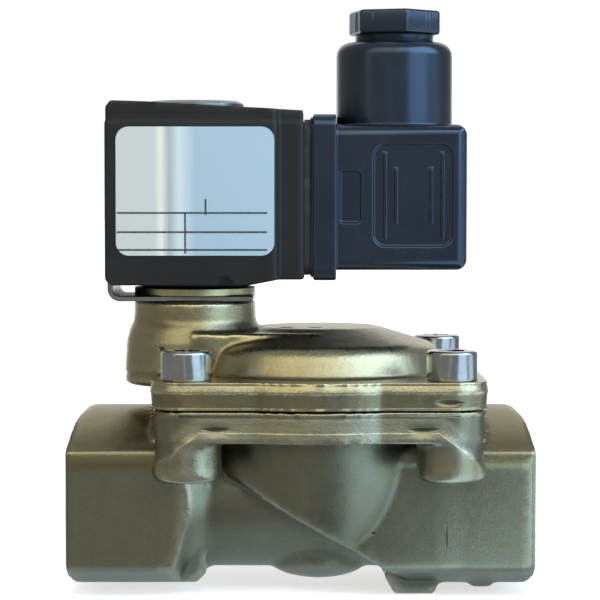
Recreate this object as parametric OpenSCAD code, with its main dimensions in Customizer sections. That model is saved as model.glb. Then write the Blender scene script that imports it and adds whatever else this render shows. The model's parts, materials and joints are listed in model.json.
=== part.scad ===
// Solenoid valve, servo-assisted, two ports, closed at rest: forged brass body and cover, a swivelling
// coil on a guide tube and a square right-angle cable plug.
// Units are millimetres. +X runs from the outlet port to the inlet port, -Y is the label side, +Z is up.
// The origin lies on the resting plane, midway between the port faces and under the port axis.

/* [Body] */
// Distance between the two port faces
body_len = 80; // [76:1:92]
// Radius of the port threads
port_r = 13.2; // [12:0.1:14]
// Depth of the port threads
port_depth = 17; // [14:0.5:18]
// Width of the lead-in bevel at each port mouth
port_lead = 0.8; // [0.2:0.1:1.2]
// Wall between a port thread and the top or bottom of its hub
hub_wall = 1.8; // [1.4:0.1:4]
// Wall between a port thread and the flat side of its hub
hub_side_wall = 2.8; // [2:0.1:5]
// Height of the rounded crown on each hub
crown_h = 6.6; // [5.6:0.1:8]
// Height of the parting band under the crown
band_h = 2.2; // [1:0.1:3]
// Rounding of the crown at a port face
crown_round = 3.8; // [1.6:0.2:4.6]
// Distance that the port face leans back above the parting band
crown_lean = 1.7; // [0.4:0.1:2.4]
// Distance that the parting band stands out of the hub
ledge = 0.3; // [0.1:0.1:0.8]
// Bevel along the lower edges of the hubs
hub_bevel = 3; // [1:0.5:4]
// Rounding at the lower edge of a port face
face_round = 1.8; // [0.5:0.1:3]
// Length of the outlet hub up to its cone
outlet_hub_len = 20.4; // [19:0.2:22]
// Length of the inlet hub up to its cone
inlet_hub_len = 31; // [25:0.5:34]
// Length of the cone between each hub and the waist
hub_taper = 4; // [2:0.5:6]
// Length over which the underside of the outlet hub rises to the waist
outlet_toe = 2.2; // [1:0.2:4]
// Length of the flat underside past the outlet hub's cone
toe_run = 1.7; // [0.8:0.1:2.5]
// Steepness of the cone at the corners of each hub, outside the hub's width
hub_flare = 1.6; // [0.8:0.1:2.4]
// Radius of the passages behind the ports
passage_r = 9; // [7:0.25:9.5]
// Wall of the waist around the passages
waist_wall = 3.9; // [3:0.1:4.6]
// Radius of the sump under the seat
sump_r = 8.6; // [6:0.2:10]
// Depth of the sump below the waist
sump_drop = 2; // [1:0.1:3]
// Height of the foot under the inlet hub
foot_h = 2; // [0.5:0.25:4]
// Distance of the foot from the middle of the body
foot_x = 19.7; // [18:0.1:24]
// Length of the foot along the body
foot_len = 7; // [5:0.5:12]
// Width of the foot across the body
foot_w = 20; // [12:1:24]
// Height of the small pad beside the foot
pad_h = 0.8; // [0.2:0.1:1.6]
// Distance of the pad from the middle of the body
pad_x = 31.2; // [29:0.1:33]
// Length of the pad along the body
pad_len = 3.4; // [2:0.2:5]
// Height of the flange face above the tops of the hubs
deck_step = 1.1; // [0.5:0.1:4]

/* [Flange] */
// Distance of the seat axis from the middle of the body
seat_x = 3.1; // [2:0.1:4]
// Thickness of the body flange
body_flange_t = 5.2; // [3.5:0.1:6]
// Thickness of the cover flange
cover_flange_t = 4.6; // [4:0.1:6]
// Distance from the edge of the diaphragm to a screw axis
rim_to_screw = 6.5; // [6:0.1:9]
// Distance from a screw axis to the flange edge
flange_edge = 6.1; // [5.5:0.1:8]
// Distance that the flange bulges out in the middle of its front and back
bulge = 1.8; // [0.5:0.1:3]
// Width of the bulge
bulge_w = 20; // [12:1:24]
// Radius of the screw bosses under the flange
boss_r = 5.9; // [5:0.1:6]
// Depth of the screw bosses below the flange face
boss_len = 12; // [11:0.2:14]
// Rounding at the lower end of the bosses
boss_round = 1.5; // [0.4:0.1:2]
// Height of the pry slots in the edges of the flanges
slot_h = 0.7; // [0.4:0.1:1]
// Depth of the pry slots
slot_depth = 0.5; // [0.3:0.1:0.8]
// Radius of the cutter of the pry slots
slot_r = 6; // [4:0.5:8]
// Distance of the body's pry slots from the seat axis
slot_x = 17; // [14:0.5:19]
// Wall between the ring chamber and the outside of the body
chamber_wall = 2.5; // [2:0.1:6]
// Draft angle of the chamber wall
chamber_draft = 14.4; // [8:0.1:16]
// Distance that the chamber wall bulges out at half its height
chamber_bow = 1.6; // [0:0.1:2.4]
// Slope of the ramp under the ring chamber and the inlet hub
ramp_a = 31; // [26:0.1:36]
// Distance from the edge of the flange to the start of the ramp
ramp_inset = 1.4; // [0.5:0.1:4]
// Depth of the chamber wall below the flange face
chamber_depth = 27; // [24:0.5:28]

/* [Seat and diaphragm] */
// Radius of the valve seat
seat_r = 9.5; // [8:0.25:10]
// Width of the seat lip
lip_w = 2; // [1.2:0.1:2.5]
// Width of the ring chamber around the seat
annulus_w = 7; // [6:0.25:8]
// Depth of the ring chamber below the flange face
annulus_depth = 5.2; // [4:0.1:5.4]
// Width of the clamped rim of the diaphragm
rim_w = 6.3; // [5:0.1:8]
// Thickness of the clamped rim
rim_t = 1.8; // [1.6:0.1:2.4]
// Thickness of the membrane inside the rim
membrane_t = 1.2; // [0.8:0.1:1.5]
// Gap between the two flanges
flange_gap = 0.3; // [0.1:0.1:0.6]
// Lift of the diaphragm
lift = 5; // [3:0.25:5.5]
// Thickness of the upper plate
plate_t = 1.5; // [1:0.1:2]
// Thickness of the lower plate
seat_plate_t = 2; // [1.5:0.1:3]
// Radius of the stud between the plates
stud_r = 2.5; // [2:0.1:3]
// Wire radius of the closing spring
close_wire_r = 0.5; // [0.3:0.05:0.7]
// Middle radius of the closing spring
close_spring_r = 7.5; // [6.5:0.1:8]
// Turns of the closing spring
close_turns = 4; // [3:0.5:5]

/* [Cover] */
// Height of the dome above the cover's lower face
dome_h = 12.5; // [12:0.1:16]
// Wall of the dome
dome_wall = 2.8; // [2:0.1:3]
// Radius of the flat on top of the dome
dome_flat_r = 10.5; // [6:0.5:11]
// Drop from the top of the dome to its edge
dome_drop = 3.3; // [2:0.1:4.5]
// Rounding of the dome's edge
dome_edge_r = 3.2; // [2.2:0.1:4]
// Angle at which the outside of the dome's wall leans inwards
dome_lean = 18; // [0:1:24]
// Radius of the two shallow marks on top of the dome
mark_r = 1.3; // [0.6:0.1:2]
// Depth of the marks
mark_depth = 0.4; // [0.2:0.1:0.8]
// Height of the pilot tower above the cover's lower face
tower_h = 17; // [16:0.05:19]
// Radius of the tower at its top
tower_r = 10.6; // [10.2:0.1:12]
// Radius that the tower gains at its base
tower_flare = 1.8; // [0.6:0.1:2.5]
// Height of the tower's shoulder below its top
tower_shoulder = 6.9; // [5:0.1:8]
// Height of the underside of the tower above the cover's lower face
tower_under = 2.4; // [1:0.1:3.5]
// Half width of the bridge where it meets the dome
bridge_half = 13.6; // [11:0.1:14]
// Height of the bridge below the top of the dome
bridge_step = 0.7; // [0.5:0.1:3]

/* [Pilot and guide tube] */
// Radius of the threaded well in the tower
well_r = 8; // [7.6:0.1:8.4]
// Depth of the pilot chamber below the seat of the O-ring
pilot_depth = 2.3; // [2:0.1:3]
// Radius of the pilot chamber
pilot_r = 6.4; // [6:0.1:6.6]
// Wire radius of the O-ring
o_ring_wire_r = 0.6; // [0.4:0.05:0.7]
// Length of the threaded tube base
base_len = 2.9; // [2:0.1:4]
// Radius of the pilot orifice
orifice_r = 0.8; // [0.5:0.1:1]
// Radius of the pilot nozzle
nozzle_r = 2.5; // [1.8:0.1:3]
// Height of the nozzle above the floor of the pilot chamber
nozzle_h = 1.2; // [0.6:0.1:1.8]
// Radius of the pilot drillings
pilot_drill_r = 1.1; // [0.8:0.1:1.2]
// Radius of the plunger
plunger_r = 4.5; // [4:0.1:4.8]
// Wall of the guide tube
tube_wall = 0.45; // [0.3:0.05:0.6]
// Stroke of the plunger
stroke = 1.8; // [1:0.1:2.4]
// Length of the fixed core inside the tube
core_len = 14.5; // [10:0.5:17]
// Radius of the threaded stud on the core
core_stud_r = 3.9; // [3:0.1:4.2]
// Width of the grooves along the plunger
groove_w = 1.2; // [0.8:0.1:2]
// Depth of the spring bore in the plunger
spring_bore_depth = 10; // [6:0.5:12]
// Wire radius of the return spring
return_wire_r = 0.3; // [0.2:0.05:0.35]
// Middle radius of the return spring
return_spring_r = 1.5; // [1.2:0.1:1.7]
// Turns of the return spring
return_turns = 8; // [5:0.5:8]

/* [Coil] */
// Gap on which the yoke turns above the tower
swivel_gap = 0.15; // [0.1:0.05:0.4]
// Thickness of the yoke strap
yoke_t = 0.9; // [0.8:0.1:1.6]
// Width of the yoke strap
yoke_w = 18; // [17.6:0.2:20]
// Outer bend radius of the yoke
yoke_bend_r = 2.2; // [1.8:0.1:3]
// Thickness of the flux washer
washer_t = 1.35; // [1:0.05:2.5]
// Height of the round boss under the coil
coil_boss_h = 0.7; // [0.4:0.1:1.5]
// Radius of the round boss under the coil
coil_boss_r = 9.4; // [8:0.1:11]
// Outer radius of the winding
winding_r = 11.8; // [10:0.1:13]
// Length of the winding
winding_len = 23.8; // [20:0.2:28]
// Wall of the bobbin
bobbin_wall = 0.8; // [0.6:0.1:1]
// Thickness of the bobbin flanges
bobbin_flange_t = 1.2; // [0.8:0.1:2]
// Radius that the bobbin flanges stand above the winding
bobbin_lip = 0.7; // [0.4:0.1:1.2]
// Wall of the coil housing in front of and behind the bobbin
coil_wall = 2.6; // [1.8:0.1:4]
// Wall of the coil housing between bobbin and yoke
yoke_cover = 1; // [0.6:0.1:2]
// Floor of the coil housing
coil_floor = 1.6; // [1.2:0.1:2.5]
// Roof of the coil housing under the yoke
roof_under = 1.7; // [1:0.1:2.5]
// Height of the housing's rim above the yoke
roof_rim = 1; // [0.5:0.1:2]
// Drop of the coil's top towards the connector block
roof_fall = 1.7; // [0:0.1:2.2]
// Rounding of the upright edges of the coil
coil_round = 0.8; // [0.4:0.1:2]
// Length of the connector block
block_len = 4.5; // [4.2:0.1:7]
// Radius of the coil nut
coil_nut_r = 8.6; // [7:0.1:8.7]
// Height of the coil nut
coil_nut_h = 1.3; // [0.7:0.05:2.2]
// Radius of the notch in the lower front edge of the coil
notch_r = 1.5; // [0.8:0.1:2.2]
// Distance of the notch from the coil axis
notch_x = 5.6; // [2:0.1:9]
// Width of the rating label
label_w = 26.8; // [20:0.2:27.2]
// Height of the rating label
label_h = 21.8; // [16:0.2:26]
// Thickness of the rating label
label_t = 0.2; // [0.1:0.05:0.4]
// Corner radius of the rating label
label_corner = 2.2; // [0.5:0.1:4]
// Height of the label's middle above the coil's middle
label_lift = 0.3; // [-1:0.1:1]
// Distance of the label's middle from the coil axis, towards the connector block
label_shift = 0.7; // [-0.7:0.1:0.7]

/* [Plug] */
// Half width of the plug flange
plug_flange_half = 14.15; // [13.6:0.05:16]
// Thickness of the plug flange
plug_flange_t = 4.4; // [3.5:0.1:6]
// Distance that the plug housing lies inside its flange
plug_step = 1.7; // [1:0.1:2.4]
// Length of the plug housing beyond its flange
plug_len = 22.4; // [21.6:0.1:27]
// Wall of the plug housing
plug_wall = 1.5; // [1.2:0.1:2]
// Wall of the plug housing at its end
plug_end_wall = 1.9; // [1.4:0.1:2.5]
// Rounding of the plug housing's edges
plug_round = 2; // [1:0.1:3]
// Distance of the plug's axis below the middle of the coil
plug_drop = 0.75; // [0:0.05:1.5]
// Thickness of the gasket between coil and plug
gasket_t = 1; // [0.6:0.1:1.6]
// Length of the terminal block
insert_len = 10; // [9:0.1:11]
// Distance of the blades from the plug's axis
blade_off = 7.5; // [6.8:0.1:7.8]
// Width of a blade
blade_w = 6.3; // [4.8:0.1:6.3]
// Thickness of a blade
blade_t = 0.8; // [0.5:0.05:1]
// Length of a blade in front of the coil
blade_len = 7.5; // [6:0.1:8]
// Depth of a blade in the coil
blade_root = 2.6; // [2:0.1:3.6]
// Wall of a terminal socket
terminal_wall = 0.8; // [0.5:0.05:1]
// Radius of the plug screw
plug_screw_r = 1.45; // [1.2:0.05:1.6]
// Radius of the plug screw's head
plug_head_r = 2.75; // [2.3:0.05:3.2]
// Height of the plug screw's head
plug_head_h = 1.6; // [1.2:0.1:2.2]
// Depth of the recessed panel on the sides of the plug
panel_depth = 0.5; // [0.3:0.05:0.8]
// Width of the panel
panel_w = 13.5; // [10:0.1:14.5]
// Height of the panel
panel_h = 17.3; // [12:0.1:19]
// Rise of the panel above the middle of the plug
panel_rise = 0.3; // [0:0.1:0.8]

/* [Gland] */
// Outer radius of the gland barrel
barrel_r = 10.1; // [9.6:0.1:10.6]
// Height of the barrel above the plug housing
barrel_h = 14.5; // [12:0.1:18]
// Rounding of the barrel's upper edge
barrel_round = 2.4; // [0.5:0.1:2.6]
// Wall of the barrel around the gland thread
barrel_wall = 3.2; // [2.4:0.1:3.6]
// Depth of the gland thread in the barrel
gland_thread_len = 7.9; // [6.5:0.1:10]
// Height of the cable grommet
grommet_h = 3.5; // [2.5:0.1:4.5]
// Thickness of the pressure washer
gland_washer_t = 0.8; // [0.5:0.1:1.2]
// Radius of the cable hole in the gland nut
cable_r = 4.25; // [3:0.05:4.6]
// Height of the neck that shows under the gland nut
neck_gap = 1.3; // [0.5:0.1:3]
// Corner radius of the gland nut
gland_hex_r = 8.4; // [7.8:0.1:10]
// Height of the gland nut
gland_hex_h = 4.2; // [3.4:0.1:7]
// Turn of the gland nut on its thread
gland_turn = -17; // [-30:1:30]

/* [Screws] */
// Radius of the cover screws
screw_r = 2.45; // [2:0.05:2.9]
// Length of the cover screws under the head
screw_len = 12; // [11:0.5:13]
// Radius of the screw heads
screw_head_r = 4.25; // [3.6:0.05:4.6]
// Height of the screw heads
screw_head_h = 5; // [4:0.1:6]
// Corner radius of the hexagon socket in the screw heads
socket_r = 2.3; // [1.6:0.05:2.6]

/* [Fits] */
// Gap of threads and pressed or moulded-in pieces
fit_gap = 0.05; // [0.02:0.01:0.08]
// Gap of sliding and turning pieces
slip_gap = 0.1; // [0.05:0.01:0.15]
// Gap around loose pieces
free_gap = 0.25; // [0.15:0.05:0.3]

/* [Hidden] */
$fn = 64;
// Overlength of every cut through a face
cut = 1;
big = 200;
// Straight steps in one turn of a spring
spring_steps = 8;
hub_h = 2 * (port_r + hub_wall);
hub_w = 2 * (port_r + hub_side_wall);
hub_flat = hub_w / 2 - ledge;
crown_r = (pow(hub_flat, 2) + pow(crown_h, 2)) / (2 * crown_h);
waist_r = max(passage_r, seat_r) + waist_wall;
z_axis = foot_h + hub_h / 2;
z_deck = foot_h + hub_h + deck_step;
lip_r = seat_r + lip_w;
annulus_r = lip_r + annulus_w;
diaphragm_r = annulus_r + rim_w;
bolt_half = (diaphragm_r + rim_to_screw) / sqrt(2);
flange_half = bolt_half + flange_edge;
bulge_r = flange_half + bulge;
chamber_r = annulus_r + chamber_wall;
recess_depth = rim_t - flange_gap;
z_seat = z_deck - recess_depth;
z_membrane = z_seat + membrane_t;
z_plate = z_membrane + plate_t;
plate_r = lip_r + 1;
seat_plate_r = seat_r - 1;
z_cover = z_deck + flange_gap;
z_cover_top = z_cover + cover_flange_t;
dome_r = annulus_r + dome_wall;
z_dome = z_cover + dome_h;
z_ceiling = z_dome - dome_wall;
tower_x = seat_x - annulus_r - rim_w / 2;
tower_base_r = tower_r + tower_flare;
z_tower = z_cover + tower_h;
z_tube_base = z_tower - base_len;
z_o_ring_seat = z_tube_base - 2 * o_ring_wire_r;
z_pilot_floor = z_o_ring_seat - pilot_depth;
z_nozzle = z_pilot_floor + nozzle_h;
nozzle_root = 2;
pilot_in_x = pilot_r - pilot_drill_r - 0.2;
tube_in_r = plunger_r + slip_gap;
tube_r = tube_in_r + tube_wall;
z_yoke = z_tower + swivel_gap;
z_washer = z_yoke + yoke_t;
z_coil_boss = z_washer + washer_t;
z_coil = z_coil_boss + coil_boss_h;
z_spool = z_coil + coil_floor;
spool_len = winding_len + 2 * bobbin_flange_t;
z_spool_top = z_spool + spool_len;
z_yoke_top = z_spool_top + roof_under + yoke_t;
z_coil_top = z_yoke_top + roof_rim;
z_coil_mid = (z_coil + z_coil_top) / 2;
bobbin_bore_r = tube_r + slip_gap;
bobbin_r = bobbin_bore_r + bobbin_wall;
bobbin_flange_r = winding_r + bobbin_lip;
spool_cavity_r = bobbin_flange_r + fit_gap;
block_half = plug_flange_half - 0.15;
coil_half_x = spool_cavity_r + yoke_cover + yoke_t + free_gap;
coil_half_y = max(spool_cavity_r + coil_wall, block_half);
coil_left = tower_x - coil_half_x;
yoke_reach = max(coil_nut_r, yoke_w / 2) + 1.4;
z_core_top = z_yoke_top - 0.1;
z_tube_top = z_core_top - 0.5;
z_core = z_tube_top - core_len;
z_plunger_top = z_core - stroke;
seal_t = 2;
seal_r = nozzle_r + 0.3;
plug_face = tower_x + coil_half_x + block_len;
z_plug = z_coil_mid - plug_drop;
plug_x0 = plug_face + gasket_t;
plug_x1 = plug_x0 + plug_flange_t;
plug_x2 = plug_x1 + plug_len;
plug_half = plug_flange_half - plug_step;
plug_in_half = plug_half - plug_wall;
insert_half = plug_in_half - free_gap;
insert_x1 = plug_x0 + insert_len;
terminal_w = blade_w + 2 * fit_gap + 0.6;
terminal_h = blade_t + 2 * fit_gap + 2 * terminal_wall;
terminal_len = insert_len - 2;
post_r = plug_head_r + 1.4;
head_x = plug_x2 - plug_head_h - 0.3;
seal_wire_r = 0.4;
gland_x = plug_x1 + barrel_r + 0.25;
z_plug_top = z_plug + plug_half;
z_barrel = z_plug_top + barrel_h;
gland_bore_r = barrel_r - barrel_wall;
neck_r = gland_bore_r - fit_gap;
z_gland_seat = z_barrel - gland_thread_len;
z_gland_washer = z_gland_seat + grommet_h;
z_neck = z_gland_washer + gland_washer_t;
z_hex = z_barrel + neck_gap;
close_spring_z0 = z_plate + close_wire_r + 0.05;
close_spring_len = z_ceiling - close_wire_r - 0.05 - close_spring_z0;
return_spring_z0 = z_plunger_top - spring_bore_depth + return_wire_r + 0.05;
return_spring_len = z_core - return_wire_r - 0.05 - return_spring_z0;
close_spring_gap = close_spring_len / close_turns - 2 * close_wire_r;
return_spring_gap = return_spring_len / return_turns - 2 * return_wire_r;
echo(close_spring_gap = close_spring_gap, return_spring_gap = return_spring_gap);

// Points of a circular arc about c
function arc(c, r, a0, a1, n = 8) =
    [for (i = [0:n]) let (a = a0 + (a1 - a0) * i / n) c + r * [cos(a), sin(a)]];

// Half section of a dome with a flat top, a conical shoulder, a rounded edge and a wall that may lean
function dome_section(r, h, flat_r, drop, edge_r, lean = 0) =
    let (slope = atan2(drop, r - flat_r))
    let (c = [r - edge_r, h - drop + edge_r * tan(slope) - edge_r / cos(slope)])
    let (base_r = c[0] + edge_r / cos(lean) + c[1] * tan(lean))
    concat([[0, 0], [base_r, 0]], arc(c, edge_r, lean, 90 - slope), [[flat_r, h], [0, h]]);

// Ring of a helical tube: sides points around the wire at step i
function coil_ring(r, wire_r, pitch, steps, i, sides) =
    let (a = 360 * i / steps)
    [for (k = [0:sides - 1])
        let (b = 360 * k / sides)
        let (q = r + wire_r * cos(b))
        [q * cos(a), q * sin(a), pitch * i / steps + wire_r * sin(b)]];

// Ring with a round hole
module ring(h, r_out, r_in) {
    difference() {
        cylinder(h = h, r = r_out);
        translate([0, 0, -cut]) cylinder(h = h + 2 * cut, r = r_in);
    }
}

// Cylinder along +X from the local origin
module rod_x(len, r1, r2) {
    rotate([0, 90, 0]) cylinder(h = len, r1 = r1, r2 = r2);
}

// Flat rectangle with round corners about its middle
module rounded_rect(w, h, r) {
    square([w - 2 * r, h], center = true);
    square([w, h - 2 * r], center = true);
    for (sx = [-1, 1], sy = [-1, 1]) {
        translate([sx * (w / 2 - r), sy * (h / 2 - r)]) circle(r = r);
    }
}

// Box with rounded edges, about its middle
module soft_box(x, y, z, r) {
    intersection() {
        linear_extrude(z, center = true) rounded_rect(x, y, r);
        rotate([90, 0, 0]) linear_extrude(y, center = true) rounded_rect(x, z, r);
        rotate([90, 0, 90]) linear_extrude(x, center = true) rounded_rect(y, z, r);
    }
}

// Helical spring of round wire, standing on the local origin
module spring(r, wire_r, len, turns) {
    steps = spring_steps;
    sides = 6;
    rings = turns * steps;
    points = [for (i = [0:rings]) each coil_ring(r, wire_r, len / turns, steps, i, sides)];
    skin = [for (i = [0:rings - 1], k = [0:sides - 1])
        let (a = i * sides + k, b = i * sides + (k + 1) % sides)
        each [[a, b, a + sides], [b, b + sides, a + sides]]];
    first = [for (k = [1:sides - 2]) [0, k + 1, k]];
    last = [for (k = [1:sides - 2]) [0, k, k + 1] + rings * sides * [1, 1, 1]];
    polyhedron(points = points, faces = [for (f = concat(skin, first, last)) [f[0], f[2], f[1]]]);
}

// Copies of the children at the four cover screws
module at_screws() {
    for (sx = [-1, 1], sy = [-1, 1]) {
        translate([seat_x + sx * bolt_half, sy * bolt_half, 0]) children();
    }
}

// Copies of the children at the three blades, flat side up, with the plug's axis as local X
module at_blades() {
    for (a = [90, 180, 270]) {
        translate([0, 0, z_plug]) rotate([a, 0, 0]) translate([0, 0, blade_off]) children();
    }
}

// Outline that the two flanges share
module flange_outline() {
    rounded_rect(2 * flange_half, 2 * flange_half, flange_edge);
    intersection() {
        circle(r = bulge_r);
        square([bulge_w, 2 * bulge_r + cut], center = true);
    }
}

// Cross section of a hub, with the port axis as its origin
module hub_section() {
    crown_z = hub_h / 2 - crown_h;
    polygon([
        [-hub_flat, crown_z],
        [-hub_flat, -hub_h / 2 + hub_bevel],
        [-hub_flat + 2 * hub_bevel, -hub_h / 2],
        [hub_flat - 2 * hub_bevel, -hub_h / 2],
        [hub_flat, -hub_h / 2 + hub_bevel],
        [hub_flat, crown_z]
    ]);
    translate([-hub_w / 2, crown_z - band_h]) square([hub_w, band_h]);
    intersection() {
        translate([0, hub_h / 2 - crown_r]) circle(r = crown_r, $fn = 128);
        translate([-hub_flat, crown_z - cut]) square([2 * hub_flat, crown_h + 2 * cut]);
    }
}

// Side view of a hub from its port face: leaning rounded crown, rounded lower corner, rising toe
module hub_profile(len, toe) {
    lean = atan(crown_lean / crown_h);
    rise = crown_h - crown_round + crown_round * sin(lean);
    c = [crown_round * cos(lean) + rise * tan(lean), hub_h / 2 - crown_round];
    crown = arc(c, crown_round, 180 - lean, 90, 9);
    corner = arc([face_round, -hub_h / 2 + face_round], face_round, 270, 180, 6);
    polygon(concat([[0, hub_h / 2 - crown_h]], crown,
        [[len, hub_h / 2], [len, -waist_r], [len - toe, -hub_h / 2]], corner));
}

// Hub from its port face along +X, with a cone at its inner end that is steeper at the corners
module hub(len, toe) {
    full = len + hub_taper;
    intersection() {
        rotate([90, 0, 90]) linear_extrude(full) hub_section();
        rotate([90, 0, 0]) linear_extrude(2 * hub_w, center = true) hub_profile(full, toe);
        rotate([0, 90, 0]) rotate_extrude()
            polygon([[0, 0], [hub_w / 2 + hub_flare * len, 0], [hub_w / 2, len],
                [waist_r, full], [0, full]]);
    }
}

// Toe that carries the underside of the outlet hub on to the waist
module toe() {
    low = hub_h / 2;
    foot_half = hub_flat - 2 * hub_bevel;
    top_half = sqrt(waist_r * waist_r - low * low / 4);
    intersection() {
        rotate([90, 0, 90]) linear_extrude(4 * hub_taper, center = true)
            polygon([[-foot_half, -low], [foot_half, -low], [top_half, -low / 2], [-top_half, -low / 2]]);
        rotate([90, 0, 0]) linear_extrude(hub_w, center = true)
            polygon([[-hub_taper, -low], [toe_run, -low], [toe_run + low - waist_r, -waist_r],
                [toe_run + low - waist_r, 0], [-hub_taper, 0]]);
    }
}

// Threaded port from its face along +X
module port_cut() {
    translate([-cut, 0, 0]) rod_x(port_depth + cut, port_r, port_r);
    translate([-cut, 0, 0]) rod_x(port_lead + cut, port_r + port_lead + cut, port_r);
}

// All that lies above the ramp, which falls from the outlet end of the flange to the inlet hub
module above_ramp() {
    translate([seat_x - flange_half + ramp_inset, 0, z_deck - body_flange_t])
        rotate([0, ramp_a, 0])
            translate([-big / 2, -big / 2, 0]) cube(big);
}

// Outer wall of the ring chamber, above the ramp
module chamber_solid() {
    h = chamber_depth - body_flange_t;
    low_r = chamber_r - h * tan(chamber_draft);
    wall = [for (i = [0:12]) let (t = i / 12)
        [low_r + (chamber_r - low_r) * t + 4 * chamber_bow * t * (1 - t), h * t]];
    intersection() {
        translate([seat_x, 0, z_deck - chamber_depth])
            rotate_extrude() polygon(concat([[0, 0]], wall, [[0, h]]));
        above_ramp();
    }
}

// Foot with sloping ends, hanging from the underside of the inlet hub
module foot(x, len, w, h) {
    root = 1.5;
    translate([x, 0, foot_h]) rotate([90, 0, 0]) linear_extrude(w, center = true)
        polygon([
            [-len / 2 - h, root],
            [-len / 2, -h],
            [len / 2, -h],
            [len / 2 + 0.4 * h, root]
        ]);
}

// Round boss for a cover screw, hanging from the flange face
module screw_boss() {
    rotate_extrude()
        polygon(concat(
            [[0, 0], [0, -boss_len]],
            arc([boss_r - boss_round, boss_round - boss_len], boss_round, 270, 360, 4),
            [[boss_r, 0]]
        ));
}

// Pry slot in the front edge of a flange, cut by a thin disc
module pry_slot(x, z) {
    translate([x, -flange_half - slot_r + slot_depth, z]) cylinder(h = slot_h, r = slot_r, center = true);
}

// Flow passages of the body: ports, outlet elbow, ring chamber and inlet well
module body_cuts() {
    translate([-body_len / 2, 0, z_axis]) port_cut();
    translate([body_len / 2, 0, z_axis]) mirror([1, 0, 0]) port_cut();
    translate([-body_len / 2 + port_depth - cut, 0, z_axis])
        rod_x(seat_x + body_len / 2 - port_depth + cut, passage_r, passage_r);
    translate([seat_x, 0, z_axis]) sphere(r = passage_r + 0.2);
    translate([seat_x, 0, z_axis]) cylinder(h = z_deck - z_axis + cut, r = seat_r);
    translate([seat_x, 0, z_deck - annulus_depth]) ring(annulus_depth + cut, annulus_r, lip_r);
    intersection() {
        translate([seat_x, 0, z_axis - passage_r - cut])
            ring(z_deck - z_axis + passage_r, annulus_r, lip_r);
        union() {
            translate([seat_x, 0, z_axis]) rod_x(body_len / 2, passage_r, passage_r);
            translate([seat_x, -passage_r, z_axis]) cube([body_len / 2, 2 * passage_r, z_deck - z_axis]);
        }
    }
    translate([seat_x + annulus_r - cut, 0, z_axis])
        rod_x(max(cut, body_len / 2 - port_depth + 2 * cut - seat_x - annulus_r), passage_r, passage_r);
    translate([seat_x, 0, z_seat]) cylinder(h = recess_depth + cut, r = diaphragm_r + slip_gap);
    translate([tower_x, 0, z_axis]) cylinder(h = z_deck - z_axis, r = pilot_drill_r);
    at_screws() translate([0, 0, z_cover_top - screw_len - cut])
        cylinder(h = screw_len, r = screw_r + fit_gap);
}

// Forged body with both ports, the seat, the flange, the screw bosses and the foot
module valve_body() {
    color([0.44, 0.42, 0.32])
    difference() {
        union() {
            translate([-body_len / 2, 0, z_axis]) hub(outlet_hub_len, outlet_toe);
            translate([-body_len / 2 + outlet_hub_len, 0, z_axis]) toe();
            intersection() {
                translate([body_len / 2, 0, z_axis]) mirror([1, 0, 0]) hub(inlet_hub_len, hub_taper);
                above_ramp();
            }
            translate([-body_len / 2 + outlet_hub_len, 0, z_axis])
                rod_x(body_len - outlet_hub_len - port_depth, waist_r, waist_r);
            translate([seat_x, 0, z_axis - waist_r + 1])
                rotate_extrude()
                    polygon(concat([[0, 3], [sump_r, 3]],
                        [for (a = [0:15:90]) [sump_r * cos(a), -(sump_drop + 1) * sin(a)]]));
            chamber_solid();
            translate([seat_x, 0, z_deck - body_flange_t]) linear_extrude(body_flange_t) flange_outline();
            at_screws() translate([0, 0, z_deck]) screw_boss();
            foot(foot_x, foot_len, foot_w, foot_h);
            foot(pad_x, pad_len, foot_w, pad_h);
        }
        body_cuts();
        for (s = [-1, 1]) {
            pry_slot(seat_x + s * slot_x, z_deck - body_flange_t / 2 - slot_h / 2);
        }
    }
}

// Outside of the pilot tower, a body of revolution
module tower_solid() {
    neck_z = tower_h - tower_shoulder / 2;
    shoulder_z = tower_h - tower_shoulder;
    rotate_extrude()
        polygon([
            [0, tower_under],
            [tower_base_r - 0.8, tower_under],
            [tower_base_r, tower_under + 0.8],
            [tower_base_r - 0.25 * tower_flare, shoulder_z],
            [tower_r + 0.4 * tower_flare, (neck_z + shoulder_z) / 2 + 0.5],
            [tower_r + 0.1, neck_z],
            [tower_r, tower_h],
            [0, tower_h]
        ]);
}

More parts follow.
